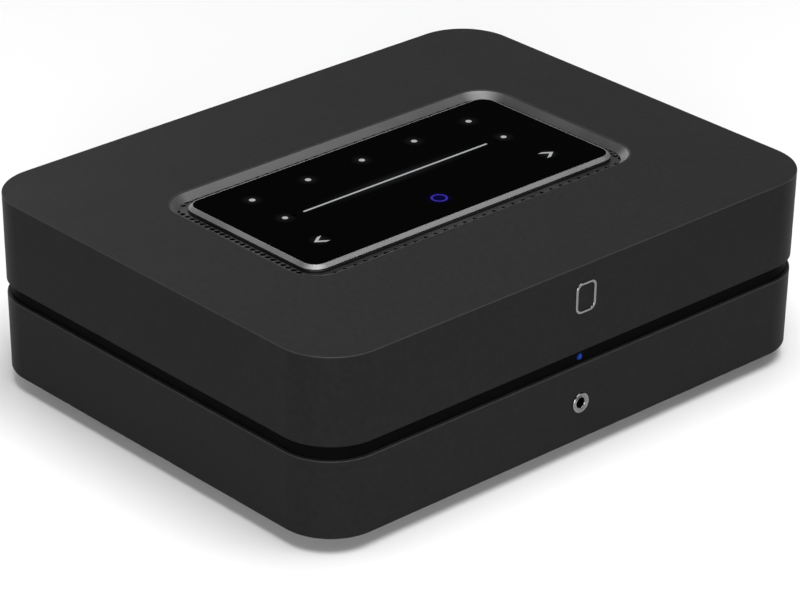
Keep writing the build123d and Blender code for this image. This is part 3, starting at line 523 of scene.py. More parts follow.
shell_finish = moulded("shell", (0.0168, 0.0168, 0.0175), ior=1.12)
# Painted highlight: a lighter shell colour for the edge breaks of the lid's top and the tray's rim, where
# light catches them
edge_highlight_finish = moulded("edge", (0.036, 0.036, 0.037), 0.45, ior=1.2)
seam_finish = moulded("seam", grey(0.003), ior=1.05)
rear_finish = moulded("rear", grey(0.016))
socket_finish = moulded("socket", grey(0.010), 0.4, grain=0.12 * MM)
moulded("inner", grey(0.02))
moulded("board", (0.006, 0.045, 0.02), 0.35, grain=1.2 * MM, vary=0.4)
foot_finish = moulded("foot", grey(0.012), 0.75, grain=0.3 * MM, ior=1.2)
liner_finish = metal("liner", (0.135, 0.135, 0.138), 0.5, stretch=(1, 1, 6))
mesh_finish = metal("mesh", (0.12, 0.12, 0.123), 0.45)
bezel_finish = metal("bezel", (0.27, 0.27, 0.275), 0.6)
# Painted shade: a darker metal for the frame's wall below its groove, down in the well
bezel_painted_shade_finish = metal("bezel_wall_painted_shade", grey(0.06), 0.45)
glass_finish = glossy("glass", grey(0.0006), 0.05, ior=1.05)
chrome_finish = metal("chrome", (0.21, 0.21, 0.215), 0.14, depth=0.0006 * MM, vary=0.03)
screw_finish = metal("screw", grey(0.06), 0.35)
gold_finish = metal("gold", (0.83, 0.60, 0.26), 0.2, stretch=(1, 8, 1), depth=0.001 * MM)
nickel_finish = metal("nickel", (0.60, 0.59, 0.57), 0.28)
metal("aluminium", (0.65, 0.65, 0.66), 0.4, stretch=(1, 0.1, 1))
moulded("ferrite", grey(0.02), 0.6, grain=0.4 * MM)
glossy("capacitor", (0.01, 0.01, 0.03), 0.25)
moulded("pad", (0.25, 0.27, 0.30), 0.8, grain=0.5 * MM)
glossy("flex", (0.30, 0.10, 0.02), 0.3)
moulded("lead", (0.05, 0.02, 0.01), grain=0.4 * MM)
red_finish = glossy("red", (0.40, 0.008, 0.008), 0.3)
black_finish = glossy("black", grey(0.008), 0.3)
white_finish = glossy("white", (0.55, 0.55, 0.53), 0.35)
window_finish = glossy("window", (0.10, 0.13, 0.10), 0.2)
mark_finish = lit("mark", (0.45, 0.46, 0.47), grey(0.01))
ring_finish = lit("ring", (0.035, 0.022, 0.36), (0.004, 0.004, 0.01))
halo_finish = halo("halo", (0.9, 0.92, 1.0), 0.015)
ring_halo_finish = halo("ring_halo", (0.03, 0.0, 1.0), 0.06)
light_reach = 1.25 * guide_r
light_finish = glow("light", (0.055, 0.16, 1.0), 0.42, (0.002, 0.004, 0.02), "Object",
                    (0, 0, -guide_z / light_reach), (1 / light_reach, 0, 1 / light_reach), 1.2)
finish_names = {
    "touch_glass": "glass", "rear_plastic": "rear", "inner_plastic": "inner", "socket_plastic": "socket",
    "thermal_pad": "pad", "heatsink": "aluminium", "connector_metal": "nickel", "knob_red": "red",
    "knob_black": "black", "chrome_trim": "chrome",
}


# Housing

def window_outline(grow):
    """The rear window's outline on X and Z, grown or shrunk all round."""
    h = window_z1 - window_z0 + 2 * grow
    return rounded_rect(2 * (window_half + grow), h, window_r + grow, 10, 0, (window_z0 + window_z1) / 2)


def window_cutter(grow=0.0, y0=flange_y - flange_w):
    return prism(window_outline(grow), "Y", y0, back_y + wall)


def make_upper_shell():
    """The lid: drafted walls, a tight edge round the top that is painted lighter as a highlight, and the
    well's rolled rim.
    """
    loops = [body_loop(rim_break, skirt_z), body_loop(0, skirt_z + rim_break)]
    loops += [body_loop(i, z) for i, z in arc(top_break, top_z - top_break, top_break, 180, 90, 4)]
    rim = arc(well_round, top_z - well_round, well_round, 90, 180, 6) + [(0, lid_z)]
    loops += plan_loops([(-(well_cut + x), z) for x, z in rim], well_w, well_d, well_r, plan_steps)
    loops += [body_loop(wall, lid_z), body_loop(wall, skirt_z)]
    shell = skin("upper_shell_skin", loops, closed=True)
    cut(shell, [window_cutter()])
    # Painted highlight on the top's edge break
    paint_edge_highlight(shell, shell_finish, edge_highlight_finish, top_z - top_break, top_z)
    dress(shell, None, "upper_shell")


def floor_cutters():
    """The vents, the foot seats and the screw sinks of the housing's floor."""
    low = base_z - wall
    cutters = []
    for side in (-1, 1):
        for k in range(slot_count):
            y = slot_y + (k - (slot_count - 1) / 2) * slot_pitch
            outline = rounded_rect(slot_l, slot_w, slot_w / 2 - round_gap, 6, side * slot_x, y)
            cutters.append(prism(outline, "Z", low, floor_z + wall))
    for x, y in case_places:
        cutters.append(prism(circle(x, y, case_sink_r, 32), "Z", low, floor_z + wall))
    for node in feet:
        lo, hi, mid = extent(node)
        seat = circle(mid.x, mid.y, (hi.x - lo.x) / 2 + hole_gap, 48)
        cutters.append(prism(seat, "Z", low, base_z + foot_seat))
    return join("floor_cutters", cutters)


def make_lower_shell():
    """The tray, with a rolled lower edge, a ledge at its rim that is painted lighter as a highlight, and a
    vented floor.
    """
    loops = [body_loop(i, z) for i, z in arc(base_break, base_z + base_break, base_break, 270, 180, 5)]
    loops += [body_loop(i, z) for i, z in arc(rim_break, rim_z - rim_break, rim_break, 180, 90, 3)]
    loops += [body_loop(wall, rim_z), body_loop(wall, floor_z)]
    shell = skin("lower_shell_skin", loops)
    lo, hi, mid = extent("headphone_ring")
    phone = circle(0, mid.z, (hi.x - lo.x) / 2 + hole_gap, 40)
    cut(shell, [
        window_cutter(),
        prism(phone, "Y", front_y - wall, front_y + 2 * wall),
        floor_cutters(),
    ])
    profile = [
        (case_boss_r, floor_z), (case_boss_r, rim_z), (screw_r, rim_z), (screw_r, base_z + case_sink),
        (case_sink_r, base_z + case_sink), (case_sink_r, floor_z),
    ]
    bosses = [lathe("boss", profile, (x, y, 0), axis="Z", steps=32) for x, y in case_places]
    shell = join("lower_shell_skin", [shell] + bosses)
    # Painted highlight on the rim's edge break
    paint_edge_highlight(shell, shell_finish, edge_highlight_finish, rim_z - rim_break, rim_z)
    dress(shell, None, "lower_shell")


def make_seam_frame():
    """The black band between the shells, with its tongues behind their walls."""
    inner = tongue_in + tongue_t
    low = rim_z - tongue_h
    high = skirt_z + tongue_h
    profile = [
        (seam_inset, rim_z), (seam_inset, skirt_z), (tongue_in, skirt_z), (tongue_in, high), (inner, high),
        (inner, low), (tongue_in, low), (tongue_in, rim_z),
    ]
    band = skin("seam_frame_skin", [body_loop(i, z) for i, z in profile], closed=True)
    hole = circle(0, guide_z, guide_r + hole_gap, 32)
    cut(band, [
        window_cutter(flange_w + seam_gap, inside_y - tongue_h),
        prism(hole, "Y", front_y - wall, front_y + 4 * wall),
    ])
    dress(band, seam_finish, "seam_frame")


# Well, mesh and touch panel

def make_well_liner():
    """The satin band that slopes from the lid's edge down to the perforated sheet."""
    high = top_z - slope_top
    low = top_z - slope_depth
    out = -(well_cut - slope_gap)
    edge = 0.12 * MM
    profile = [
        (slope_in, low), (slope_in, low + edge / 2), (out + edge, high), (out, high - edge), (out, low),
    ]
    liner = skin("well_liner_skin", plan_loops(profile, well_w, well_d, well_r, plan_steps), closed=True)
    dress(liner, liner_finish, "well_liner", angle=40)


def mesh_hole_places():
    """A hexagonal lattice of holes that reaches a little under the band and clears the panel."""
    column = hole_pitch * sqrt(3) / 2
    rim = hole_r + hole_land
    places = []
    for i in range(-int(well_w / column), int(well_w / column) + 1):
        for j in range(-int(well_d / hole_pitch), int(well_d / hole_pitch) + 1):
            x = i * column
            y = (j + (i % 2) / 2) * hole_pitch
            by_panel = abs(x) < panel_w / 2 + rim and abs(y) < panel_d / 2 + rim
            corner_x = max(abs(x) - (well_w / 2 - well_r), 0)
            corner_y = max(abs(y) - (well_d / 2 - well_r), 0)
            if not by_panel and hypot(corner_x, corner_y) < well_r - slope_in + rim:
                places.append((x, y))
    return places


def make_vent_mesh():
    """The perforated sheet: round holes with softened rims, in rows half a pitch apart."""
    high = top_z - slope_depth
    window = rounded_rect(panel_w + 2 * slope_gap, panel_d + 2 * slope_gap, panel_r, 10)
    holes = [circle(x, y, hole_r) for x, y in mesh_hole_places()]
    plane = Matrix.Translation((0, mid_y, high - mesh_t / 2))
    outline = rounded_rect(well_w, well_d, well_r, 12)
    sheet = flat_piece("vent_mesh_sheet", [outline, window] + holes, plane, mesh_t, mesh_edge, 1)
    dress(sheet, mesh_finish, "vent_mesh")


def make_panel_frame():
    """The bevelled frame: a wall painted dark as shade, a groove under the bevel, and a seat for the glass.
    """
    z0 = bezel_lo.z
    z1 = bezel_hi.z
    tiny = 0.06 * MM
    groove_z = z1 - bevel
    glass_i = (panel_w - glass_w) / 2 - glass_gap
    seat_i = (panel_w - glass_w) / 2 + glass_shelf
    profile = [
        (0, z0), (0, groove_z - groove_h - tiny), (tiny, groove_z - groove_h),
        (groove_in, groove_z - groove_h), (groove_in, groove_z), (tiny, groove_z), (0, groove_z + tiny),
        (bevel - tiny, z1 - tiny), (bevel, z1), (glass_i - tiny, z1), (glass_i, z1 - tiny),
        (glass_i, z1 - glass_t), (seat_i, z1 - glass_t), (seat_i, z0),
    ]
    bezel = skin("panel_frame_skin", plan_loops(profile, panel_w, panel_d, panel_r, 14), closed=True)
    coat([bezel], bezel_finish)
    bezel.data.materials.append(bezel_painted_shade_finish)
    # Faces below the groove get the painted shade
    for polygon in bezel.data.polygons:
        if polygon.center.z < groove_z - groove_h / 2:
            polygon.material_index = 1
    dress(bezel, None, "panel_frame", angle=20)


def make_touch_glass():
    """The black glass, with ground edges."""
    edge = 0.15 * MM
    z0 = glass_lo.z
    z1 = glass_hi.z
    profile = [(edge, z0), (0, z0 + edge)] + arc(edge, z1 - edge, edge, 180, 90, 3)
    pane = skin("touch_glass_pane", plan_loops(profile, glass_w, glass_d, glass_r, 14))
    dress(pane, glass_finish, "touch_glass")


def mark(name, outlines, material, low=0.0):
    """A flat marking on the glass, from outlines about the panel's middle."""
    plane = Matrix.Translation((0, mid_y, glass_hi.z + low + mark_t / 2))
    dress(flat_piece(name, outlines, plane, mark_t), material)


def glowing_mark(name, x, y, outlines):
    """A white marking with a faint halo under it."""
    mark(name + "_halo", [circle(x, y, halo_r, 40)], halo_finish)
    mark(name, outlines, mark_finish, mark_t)


def chevron(tip_x, tip_y, side):
    """The outline of an arrow of two strokes, whose tip points to this side."""
    back, half_h, line = mm(3.2, 2.2, 1.7)
    far = back + line
    points = [(0, 0), (-back, half_h), (-far, half_h), (-line, 0), (-far, -half_h), (-back, -half_h)]
    return [(tip_x + side * x, tip_y + y) for x, y in points]


def make_marks():
    """The panel's lit symbols: five dots, a slider with its ends, two arrows and a ring."""
    dot_y, dot_r, end_y, end_r = mm(19.4, 1.05, 2.1, 1.0)
    for k, x in enumerate(mm(-48.7, -24.6, -0.8, 22.8, 48)):
        glowing_mark(f"preset_dot_{k}", x, dot_y, [circle(x, dot_y, dot_r, 24)])
    for name, x in zip(("slider_dot_left", "slider_dot_right"), mm(-49.5, 48)):
        glowing_mark(name, x, end_y, [circle(x, end_y, end_r, 24)])
    slider_x, slider_y, slider_l, slider_w, slider_r = mm(-1.1, 1.7, 81.9, 0.75, 0.37)
    ellipse = [(slider_x + 11 * x, slider_y + y) for x, y in circle(0, 0, halo_r, 60)]
    mark("slider_halo", [ellipse], halo_finish)
    slider = rounded_rect(slider_l, slider_w, slider_r, 6, slider_x, slider_y)
    mark("slider_line", [slider], mark_finish, mark_t)
    ring_x, ring_y, ring_halo_r, ring_r, ring_in_r = mm(-1.7, -19.5, 5, 2.85, 2.15)
    mark("play_ring_halo", [circle(ring_x, ring_y, ring_halo_r, 40)], ring_halo_finish)
    ring = [circle(ring_x, ring_y, r, 40) for r in (ring_r, ring_in_r)]
    mark("play_ring", ring, ring_finish, mark_t)
    arrow_y, left_tip, left_x, right_tip, right_x = mm(-17.8, -54.5, -52.2, 52.0, 49.6)
    glowing_mark("arrow_left", left_x, arrow_y, [chevron(left_tip, arrow_y, -1)])
    glowing_mark("arrow_right", right_x, arrow_y, [chevron(right_tip, arrow_y, 1)])


# Front

def make_headphone_ring():
    """The chromed ring: a rounded rim, a valley and a rolled lip round the bore."""
    lo, hi, mid = extent("headphone_ring")
    r = (hi.x - lo.x) / 2
    end = hi.y - lo.y
    crown, lip, valley = mm(0.45, 0.3, 0.55)
    profile = [(r, end)] + arc(r - crown, crown, crown, 0, -90, 5) + [(r - 2 * crown, valley)]
    profile += [(ring_bore + 2 * lip, valley)] + arc(ring_bore + lip, 2 * lip, lip, -60, -180, 5)
    profile.append((ring_bore, end))
    ring = lathe("headphone_ring_turned", profile, (mid.x, lo.y, mid.z), steps=72)
    dress(ring, chrome_finish, "headphone_ring", angle=60)


def make_light_guide():
    """The lit guide, from the board's light up and forward to its domed end in the seam."""
    turn_r = 3 * MM
    leg_y = guide_hi.y - guide_r
    dome_shares = ((0, 0.2), (0.06, 0.55), (0.22, 0.85), (0.5, 1.0))
    path = [(guide_lo.y + y * MM, share) for y, share in dome_shares] + [(leg_y - turn_r, 1.0)]
    loops = []
    steps = 28
    for y, share in path:
        loops.append([(x, y, z) for x, z in circle(0, guide_z, guide_r * share, steps)])
    for k in range(1, 7):
        a = radians(90 * k / 6)
        centre = Vector((0, leg_y - turn_r + turn_r * sin(a), guide_z - turn_r + turn_r * cos(a)))
        across = Vector((0, sin(a), cos(a)))
        loops.append([centre + Vector((u, 0, 0)) + across * v for u, v in circle(0, 0, guide_r, steps)])
    last = Vector((0, 0, guide_lo.z - (guide_z - turn_r)))
    loops.append([p + last for p in loops[-1]])
    guide = skin("light_guide_moulded", loops)
    dress(guide, light_finish, "light_guide", angle=50)


def make_emblem():
    """A plain rounded chrome frame, with a crowned line."""
    lo, hi, mid = extent("front_emblem")
    depth, crown = mm(0.8, 0.3)
    face = depth / 2 - crown
    centre = Vector((0, mid.y, mid.z))
    turn = Matrix.Rotation(radians(90) + atan(slope), 4, "X")
    profile = [(0, -depth / 2)] + arc(crown, face, crown, 180, 90, 4)
    profile += arc(emblem_line - crown, face, crown, 90, 0, 4) + [(emblem_line, -depth / 2)]
    loops = []
    for i, t in profile:
        outline = rounded_rect(emblem_w - 2 * i, emblem_h - 2 * i, emblem_r - i, 10)
        loops.append([centre + turn @ Vector((x, y, t)) for x, y in outline])
    emblem = skin("front_emblem_frame", loops, closed=True)
    dress(emblem, chrome_finish, "front_emblem", angle=60)


def make_feet():
    """Rubber feet with a soft lower edge and a hollow sole."""
    edge, sole_in, core_r = mm(0.6, 0.8, 0.2)
    for node in feet:
        lo, hi, mid = extent(node)
        top_r = (hi.x - lo.x) / 2
        sole_r = top_r - sole_in
        profile = [(core_r, hi.z), (top_r, hi.z), (top_r, hi.z - foot_seat)]
        profile += arc(sole_r - edge, edge, edge, 0, -90, 5)
        profile += [(sole_r / 2, 0), (sole_r / 2 - edge, edge), (core_r, edge)]
        foot = lathe(node + "_moulded", profile, (mid.x, mid.y, 0), axis="Z", steps=48, solid=True)
        dress(foot, foot_finish, node)


# Screws

def pan_head(r, h):
    """A round screw head with a cross recess, seated at the origin with its crown along +Z."""
    crown = 0.6 * h
    profile = [(r, 0)]
    profile += [(r * (0.72 + 0.28 * u), h - crown + crown * v) for u, v in arc(0, 0, 1, 0, 90, 5)]
    head = lathe("screw_head", profile, (0, 0, 0), axis="Z", steps=40, solid=True)
    arm = 0.52 * r
    slot = 0.13 * r
    deep = 0.45 * h
    cutters = []
    for w, d in ((arm, slot), (slot, arm)):
        outline = rounded_rect(2 * w, 2 * d, 0.3 * slot, 2)
        cutters.append(prism(outline, "Z", h - deep, h + deep))
    return cut(head, cutters)


def make_screws(name, node, head, places, shank):
    """Pan heads and their shanks, each turned and moved to its place."""
    pieces = []
    for place in places:
        rod = lathe("shank", [(screw_r, -shank), (screw_r, 0)], (0, 0, 0), axis="Z", steps=20, solid=True)
        screw = join("screw", [pan_head(*head), rod])
        screw.data.transform(place)
        pieces.append(screw)
    dress(join(name, pieces), screw_finish, node)


def make_all_screws():
    to_rear = Matrix.Rotation(radians(-90), 4, "X")
    places = [Matrix.Translation((x, panel_y, z)) @ to_rear for x, z in rear_places]
    make_screws("rear_screws_turned", "rear_screws", rear_head, places, panel_y - inside_y + rear_bite)
    down = Matrix.Rotation(radians(180), 4, "X")
    seat = base_z + case_sink
    places = [Matrix.Translation((x, y, seat)) @ down for x, y in case_places]
    case_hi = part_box("case_screws")[1]
    make_screws("case_screws_turned", "case_screws", case_head, places, case_hi.z - seat)


# Rear panel and its sockets

def inlet_outline(w, h, r, grow=0.0):
    return rounded_rect(w + 2 * grow, h + 2 * grow, r + grow, 10, inlet_x, inlet_z)


def socket_mouths():
    """The rear panel's openings for the sockets, the inlet, the posts and the screws."""
    mouths = []
    for node in ("network_socket", "usb_socket", "hdmi_socket"):
        lo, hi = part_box(node)
        mouths.append(box_outline(lo, hi, socket_gap, mouth_r))
    for node, (r, steps) in round_mouths.items():
        lo, hi, mid = extent(node)
        mouths.append(circle(mid.x, mid.z, r * MM, steps))
    mouths.append(inlet_outline(*inlet_body, socket_gap))
    for post in posts:
        mouths.append(circle(post_x[post], post_z, post_boss_r + hole_gap, 40))
    return mouths + [circle(x, z, screw_r + screw_hole_gap, 24) for x, z in rear_places]


def make_rear_panel():
    """The panel with softened rims, and the flange behind it that the shells hold."""
    front = plate_y([window_outline(-window_gap)] + socket_mouths(), flange_y, panel_y, panel_edge)
    flange = plate_y([window_outline(flange_w)] + socket_mouths(), inside_y, flange_y)
    dress(join("rear_panel_moulded", [front, flange]), rear_finish, "rear_panel")


def bar_y(x, half, y0, y1, z0, z1, rise=0.0):
    """A flat bar that points to the rear, whose far end lies higher by rise."""
    loops = []
    for y, up in ((y0, 0), (y1, rise)):
        corners = ((x - half, z0), (x + half, z0), (x + half, z1), (x - half, z1))
        loops.append([(u, y, v + up) for u, v in corners])
    return skin("bar", loops)


def shielded(node, mouth, deep, rim):
    """A socket's metal shell with a blind mouth."""
    lo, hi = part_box(node)
    outline = box_outline(lo, hi, 0, shell_r)
    return coat(hollow_block(outline, mouth, lo.y, hi.y - deep, hi.y, rim), nickel_finish)


def make_network_socket():
    """A shielded eight-pin socket: latch notch below, slanted contacts above, two light windows."""
    lo, hi, mid = extent("network_socket")
    half, latch, sill, tall, notch_h, deep = mm(5.9, 3.1, 2.6, 8, 1.6, 15)
    rim, lining, sleeve_in = mm(0.12, 0.25, 0.5)
    pitch, pin_half, pin_t, pin_z, pin_rise, pin_in = mm(1.02, 0.22, 0.3, 3.4, 2.7, 3)
    pane = mm(2.6, 1.5, 0.3)
    pane_x, pane_z, pane_sunk, pane_proud, pane_edge = mm(5.2, 1.4, 0.3, 0.06, 0.05)
    z0 = lo.z + sill
    z1 = z0 + tall
    low = z0 - notch_h
    floor_y = hi.y - deep

    def opening(t):
        """The outline of the mouth, moved in by t."""
        right_side = [(latch - t, low + t), (latch - t, z0 + t), (half - t, z0 + t), (half - t, z1 - t)]
        points = [(mid.x + u, z) for u, z in right_side]
        return points + [(mid.x - u, z) for u, z in reversed(right_side)]

    pieces = shielded("network_socket", opening(0), deep, rim)
    sleeve = plate_y([opening(0), opening(lining)], floor_y, hi.y - sleeve_in)
    back = plate_y([opening(0)], floor_y, floor_y + lining)
    pieces += coat([sleeve, back], socket_finish)
    pin_low = z1 - pin_z
    pins = [
        bar_y(mid.x + (k - 3.5) * pitch, pin_half, floor_y, hi.y - pin_in, pin_low, pin_low + pin_t, pin_rise)
        for k in range(8)
    ]
    pieces += coat(pins, gold_finish)
    for side in (-1, 1):
        outline = rounded_rect(*pane, 4, mid.x + side * pane_x, hi.z - pane_z)
        window = plate_y([outline], hi.y - pane_sunk, hi.y + pane_proud, pane_edge)
        pieces += coat([window], window_finish)
    build("network_socket", pieces)


def make_usb_socket():
    """A pressed shell, and a tongue that carries four contacts."""
    lo, hi, mid = extent("usb_socket")
    shell_t, deep, rim, corner = mm(0.35, 11.5, 0.1, 0.3)
    tongue_w, tongue_t, tongue_r, tongue_edge, tongue_in, over = mm(11.1, 1.84, 0.25, 0.15, 1, 0.9)
    pin_half, pin_proud, pin_sunk = mm(0.5, 0.08, 0.1)
    floor_y = hi.y - deep
    pieces = shielded("usb_socket", box_outline(lo, hi, -shell_t, corner), deep, rim)
    high = hi.z - shell_t - over
    low = high - tongue_t
    tongue_y = hi.y - tongue_in
    tongue = rounded_rect(tongue_w, tongue_t, tongue_r, 3, mid.x, high - tongue_t / 2)
    pieces += coat([plate_y([tongue], floor_y, tongue_y, tongue_edge)], white_finish)
    for offset, short in ((-3.5, 1), (-1, 2), (1, 2), (3.5, 1)):
        end = tongue_y - short * MM
        pin = bar_y(mid.x + offset * MM, pin_half, floor_y, end, low - pin_proud, low + pin_sunk)
        pieces += coat([pin], gold_finish)
    build("usb_socket", pieces)


def make_hdmi_socket():
    """A wide shell with two lower corners cut away, and a thin tongue with fine contacts."""
    lo, hi, mid = extent("hdmi_socket")
    inset, corner, deep, rim = mm(0.5, 1.6, 8.5, 0.1)
    tongue_w, tongue_t, tongue_r, tongue_in = mm(11.6, 1, 0.2, 1)
    pitch, pin_half, pin_t, pin_in = mm(0.5, 0.14, 0.05, 0.5)
    w = (hi.x - lo.x) / 2 - inset
    z0 = lo.z + inset
    z1 = hi.z - inset
    left_side = [(-w, z1), (-w, z0 + corner), (-w + corner, z0)]
    mouth = [(mid.x + u, z) for u, z in left_side] + [(mid.x - u, z) for u, z in reversed(left_side)]
    floor_y = hi.y - deep
    pieces = shielded("hdmi_socket", mouth, deep, rim)
    tongue_y = hi.y - tongue_in
    tongue = rounded_rect(tongue_w, tongue_t, tongue_r, 3, mid.x, mid.z)
    pieces += coat([plate_y([tongue], floor_y, tongue_y, rim)], socket_finish)
    for k in range(19):
        z = mid.z + tongue_t / 2 * (1 if k % 2 else -1)
        x = mid.x + (k - 9) * pitch
        pieces += coat([bar_y(x, pin_half, floor_y, tongue_y - pin_in, z - pin_t, z + pin_t)], gold_finish)
    build("hdmi_socket", pieces)


def make_jack(node, tip_finish):
    """A 3.5 mm socket: a rounded nose in the panel and a contact sleeve in its bore."""
    lo, hi, mid = extent(node)
    nose, edge, deep, corner, rim = mm(3, 0.35, 13, 0.3, 0.1)
    sleeve_t, sleeve_in, sleeve_end = mm(0.12, 1, 3)
    bore = ring_bore
    axis = (mid.x, 0, mid.z)
    profile = [(nose, inside_y)] + arc(nose - edge, hi.y - edge, edge, 0, 90, 4)
    profile += arc(bore + edge, hi.y - edge, edge, 90, 180, 4) + [(bore, inside_y)]
    pieces = [lathe("nose", profile, axis, steps=48)]
    mouth = circle(mid.x, mid.z, bore, 32)
    outline = box_outline(lo, hi, 0, corner)
    pieces += hollow_block(outline, mouth, lo.y, hi.y - deep, inside_y, rim)
    coat(pieces, socket_finish)
    y0 = hi.y - sleeve_end
    y1 = hi.y - sleeve_in
    sleeve = [(bore, y0), (bore, y1), (bore - sleeve_t, y1), (bore - sleeve_t, y0)]
    pieces += coat([lathe("sleeve", sleeve, axis, steps=32)], tip_finish)
    build(node, pieces)


def make_subwoofer_socket():
    """A phono socket: turned barrel and collar, insulator and centre sleeve."""
    lo, hi, mid = extent("subwoofer_socket")
    barrel, collar, collar_t, edge = mm(4.15, 5.2, 0.8, 0.3)
    inner, bore, recess, deep, body_edge = mm(3.3, 1.65, 0.7, 8, 0.2)
    axis = (mid.x, 0, mid.z)
    collar_end = panel_y + collar_t
    profile = [(barrel, inside_y), (barrel, panel_y), (collar, panel_y), (collar, collar_end - edge)]
    profile += [(collar - edge, collar_end), (barrel, collar_end)]
    profile += arc(barrel - edge, hi.y - edge, edge, 0, 90, 3) + [(inner, hi.y), (inner, inside_y)]
    pieces = coat([lathe("barrel", profile, axis, steps=56)], gold_finish)
    face = hi.y - recess
    floor_y = hi.y - deep
    profile = [(inner, inside_y), (inner, face), (bore, face), (bore, floor_y), (tiny_r, floor_y)]
    profile.append((tiny_r, inside_y))
    pieces += coat([lathe("insulator", profile, axis, steps=48)], socket_finish)
    body = box_outline(lo, hi, 0, shell_r)
    pieces += coat([plate_y([body], lo.y, inside_y, body_edge)], socket_finish)
    build("subwoofer_socket", pieces)


def make_mains_inlet():
    """A two-pin inlet: rounded flange, slotted well with two pins, and tabs behind."""
    length, deep, edge = mm(19, 12.5, 0.4)
    pin_x, pin_r, pin_l, tab_half, tab_z = mm(4.3, 1.2, 10, 0.4, 1.4)
    face = inlet_hi.y
    back = panel_y - length
    floor_y = face - deep
    well = inlet_outline(*inlet_well)
    pieces = [plate_y([inlet_outline(*inlet_flange), well], panel_y, face, edge)]
    pieces += hollow_block(inlet_outline(*inlet_body), well, back, floor_y, panel_y, 0)
    coat(pieces, socket_finish)
    for side in (-1, 1):
        x = inlet_x + side * pin_x
        profile = [(pin_r, floor_y)] + arc(tiny_r, floor_y + pin_l - pin_r, pin_r, 0, 80, 5)
        pin = lathe("pin", profile, (x, 0, inlet_z), steps=28, solid=True)
        tab = bar_y(x, tab_half, inlet_lo.y, back, inlet_z - tab_z, inlet_z + tab_z)
        pieces += coat([pin, tab], nickel_finish)
    build("mains_inlet", pieces)


# Speaker posts

def make_terminal_block(side):
    """The moulded collar of one speaker's two posts, with a coloured ring round each."""
    node = side + "_terminal_block"
    lo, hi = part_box(node)
    pair = [post_x[side + "_minus"], post_x[side + "_plus"]]
    bore = stud_r + stud_gap
    h = hi.z - lo.z
    outline = rounded_rect(hi.x - lo.x, h, h / 2 - round_gap, 14, sum(pair) / 2, post_z)
    holes = [circle(x, post_z, bore, 40) for x in pair]
    pieces = [plate_y([outline] + holes, panel_y, hi.y, collar_edge)]
    for x in pair:
        profile = [(post_boss_r, lo.y), (post_boss_r, panel_y), (bore, panel_y), (bore, lo.y)]
        pieces.append(lathe("boss", profile, (x, 0, post_z), steps=40))
    coat(pieces, socket_finish)
    in_r, out_r, half, taper = mm(6.2, 6.8, 0.1, 0.05)
    low = hi.y - half
    high = hi.y + half
    profile = [(in_r, low), (in_r + taper, high), (out_r - taper, high), (out_r, low)]
    for x, finish in zip(pair, (black_finish, red_finish)):
        pieces += coat([lathe("colour_ring", profile, (x, 0, post_z), steps=56)], finish)
    build(node, pieces, "_moulded")


def make_stud(post):
    """A gold-plated stud with its thread, plug bore and cross hole."""
    lo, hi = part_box(post + "_stud")
    shoulder = lo.y + tail_l
    bore_y = hi.y - plug_bore_l
    edge = post_edge
    length = hi.y - edge - collar_y

    def threaded(r, t, a):
        if r < stud_r or t < collar_y:
            return r
        turn = (t / thread_pitch - a / (2 * pi)) % 1
        return r - thread_h * (1 - abs(2 * turn - 1))

    profile = [(tail_r, lo.y), (tail_r, shoulder), (stud_r, shoulder), (stud_r, collar_y - edge)]
    count = round(length / thread_pitch * thread_rows)
    profile += [(stud_r, collar_y + length * k / count) for k in range(count + 1)]
    profile += [(stud_r - thread_h - edge / 2, hi.y), (plug_bore_r + edge, hi.y), (plug_bore_r, hi.y - edge)]
    profile += [(plug_bore_r, bore_y), (tiny_r, bore_y - plug_cone), (tiny_r, lo.y)]
    stud = lathe(post + "_stud_turned", profile, post_at[post], steps=40, radius=threaded)
    hole = circle(post_x[post], collar_y + wire_hole_y, wire_hole_r, 20)
    cut(stud, [prism(hole, "Z", post_z - 2 * stud_r, post_z + 2 * stud_r)])
    dress(stud, gold_finish, post + "_stud", angle=50)


def make_washer(post):
    """The clamping washer, with rounded rims."""
    lo, hi, mid = extent(post + "_washer")
    r = (hi.x - lo.x) / 2
    bore = stud_r + washer_gap
    profile = rounded_rect(r - bore, hi.y - lo.y, washer_edge, 3, (r + bore) / 2, mid.y)
    washer = lathe(post + "_washer_turned", profile, post_at[post], steps=56)
    dress(washer, gold_finish, post + "_washer", post + "_clamp")


def make_knob(post, colour):
    """The fluted knob: a plain skirt, a neck, ten scooped flutes and a rolled open end."""
    lo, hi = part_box(post + "_knob")
    r = (hi.x - lo.x) / 2
    bore = stud_r + stud_gap
    reach = r + flute_r - flute_depth
    start = lo.y + skirt_l + neck_h
    edge = post_edge

    def fluted(radius, t, a):
        if t < start or radius < r - knob_round - edge:
            return radius
        step = 2 * pi / flute_count
        off = (a + step / 2) % step - step / 2
        under = flute_r ** 2 - (reach * sin(off)) ** 2
        return min(radius, reach * cos(off) - sqrt(under)) if under > 0 else radius

    profile = arc(r - edge, lo.y + edge, edge, -90, 0, 3) + [(r, lo.y + skirt_l - neck_h)]
    profile += [(r - neck_h, lo.y + skirt_l), (r, start)]
    profile += [(r, start + (hi.y - knob_round - start) * k / 3) for k in (1, 2, 3)]
    profile += arc(r - knob_round, hi.y - knob_round, knob_round, 15, 90, 5)
    profile += arc(bore + edge, hi.y - edge, edge, 90, 180, 3) + [(bore, lo.y)]
    knob = lathe(post + "_knob_moulded", profile, post_at[post], steps=200, radius=fluted)
    dress(knob, finishes[colour], post + "_knob", post + "_knob_body", angle=28)


def make_posts():
    for side in ("left", "right"):
        make_terminal_block(side)
    for post in posts:
        make_stud(post)
        make_washer(post)
        make_knob(post, "red" if post.endswith("plus") else "black")


for subpart in frame["record"]["subparts"]:
    slot = subpart["material_slot"]
    coat([nodes[subpart["node"]]], finishes[finish_names.get(slot, slot)])

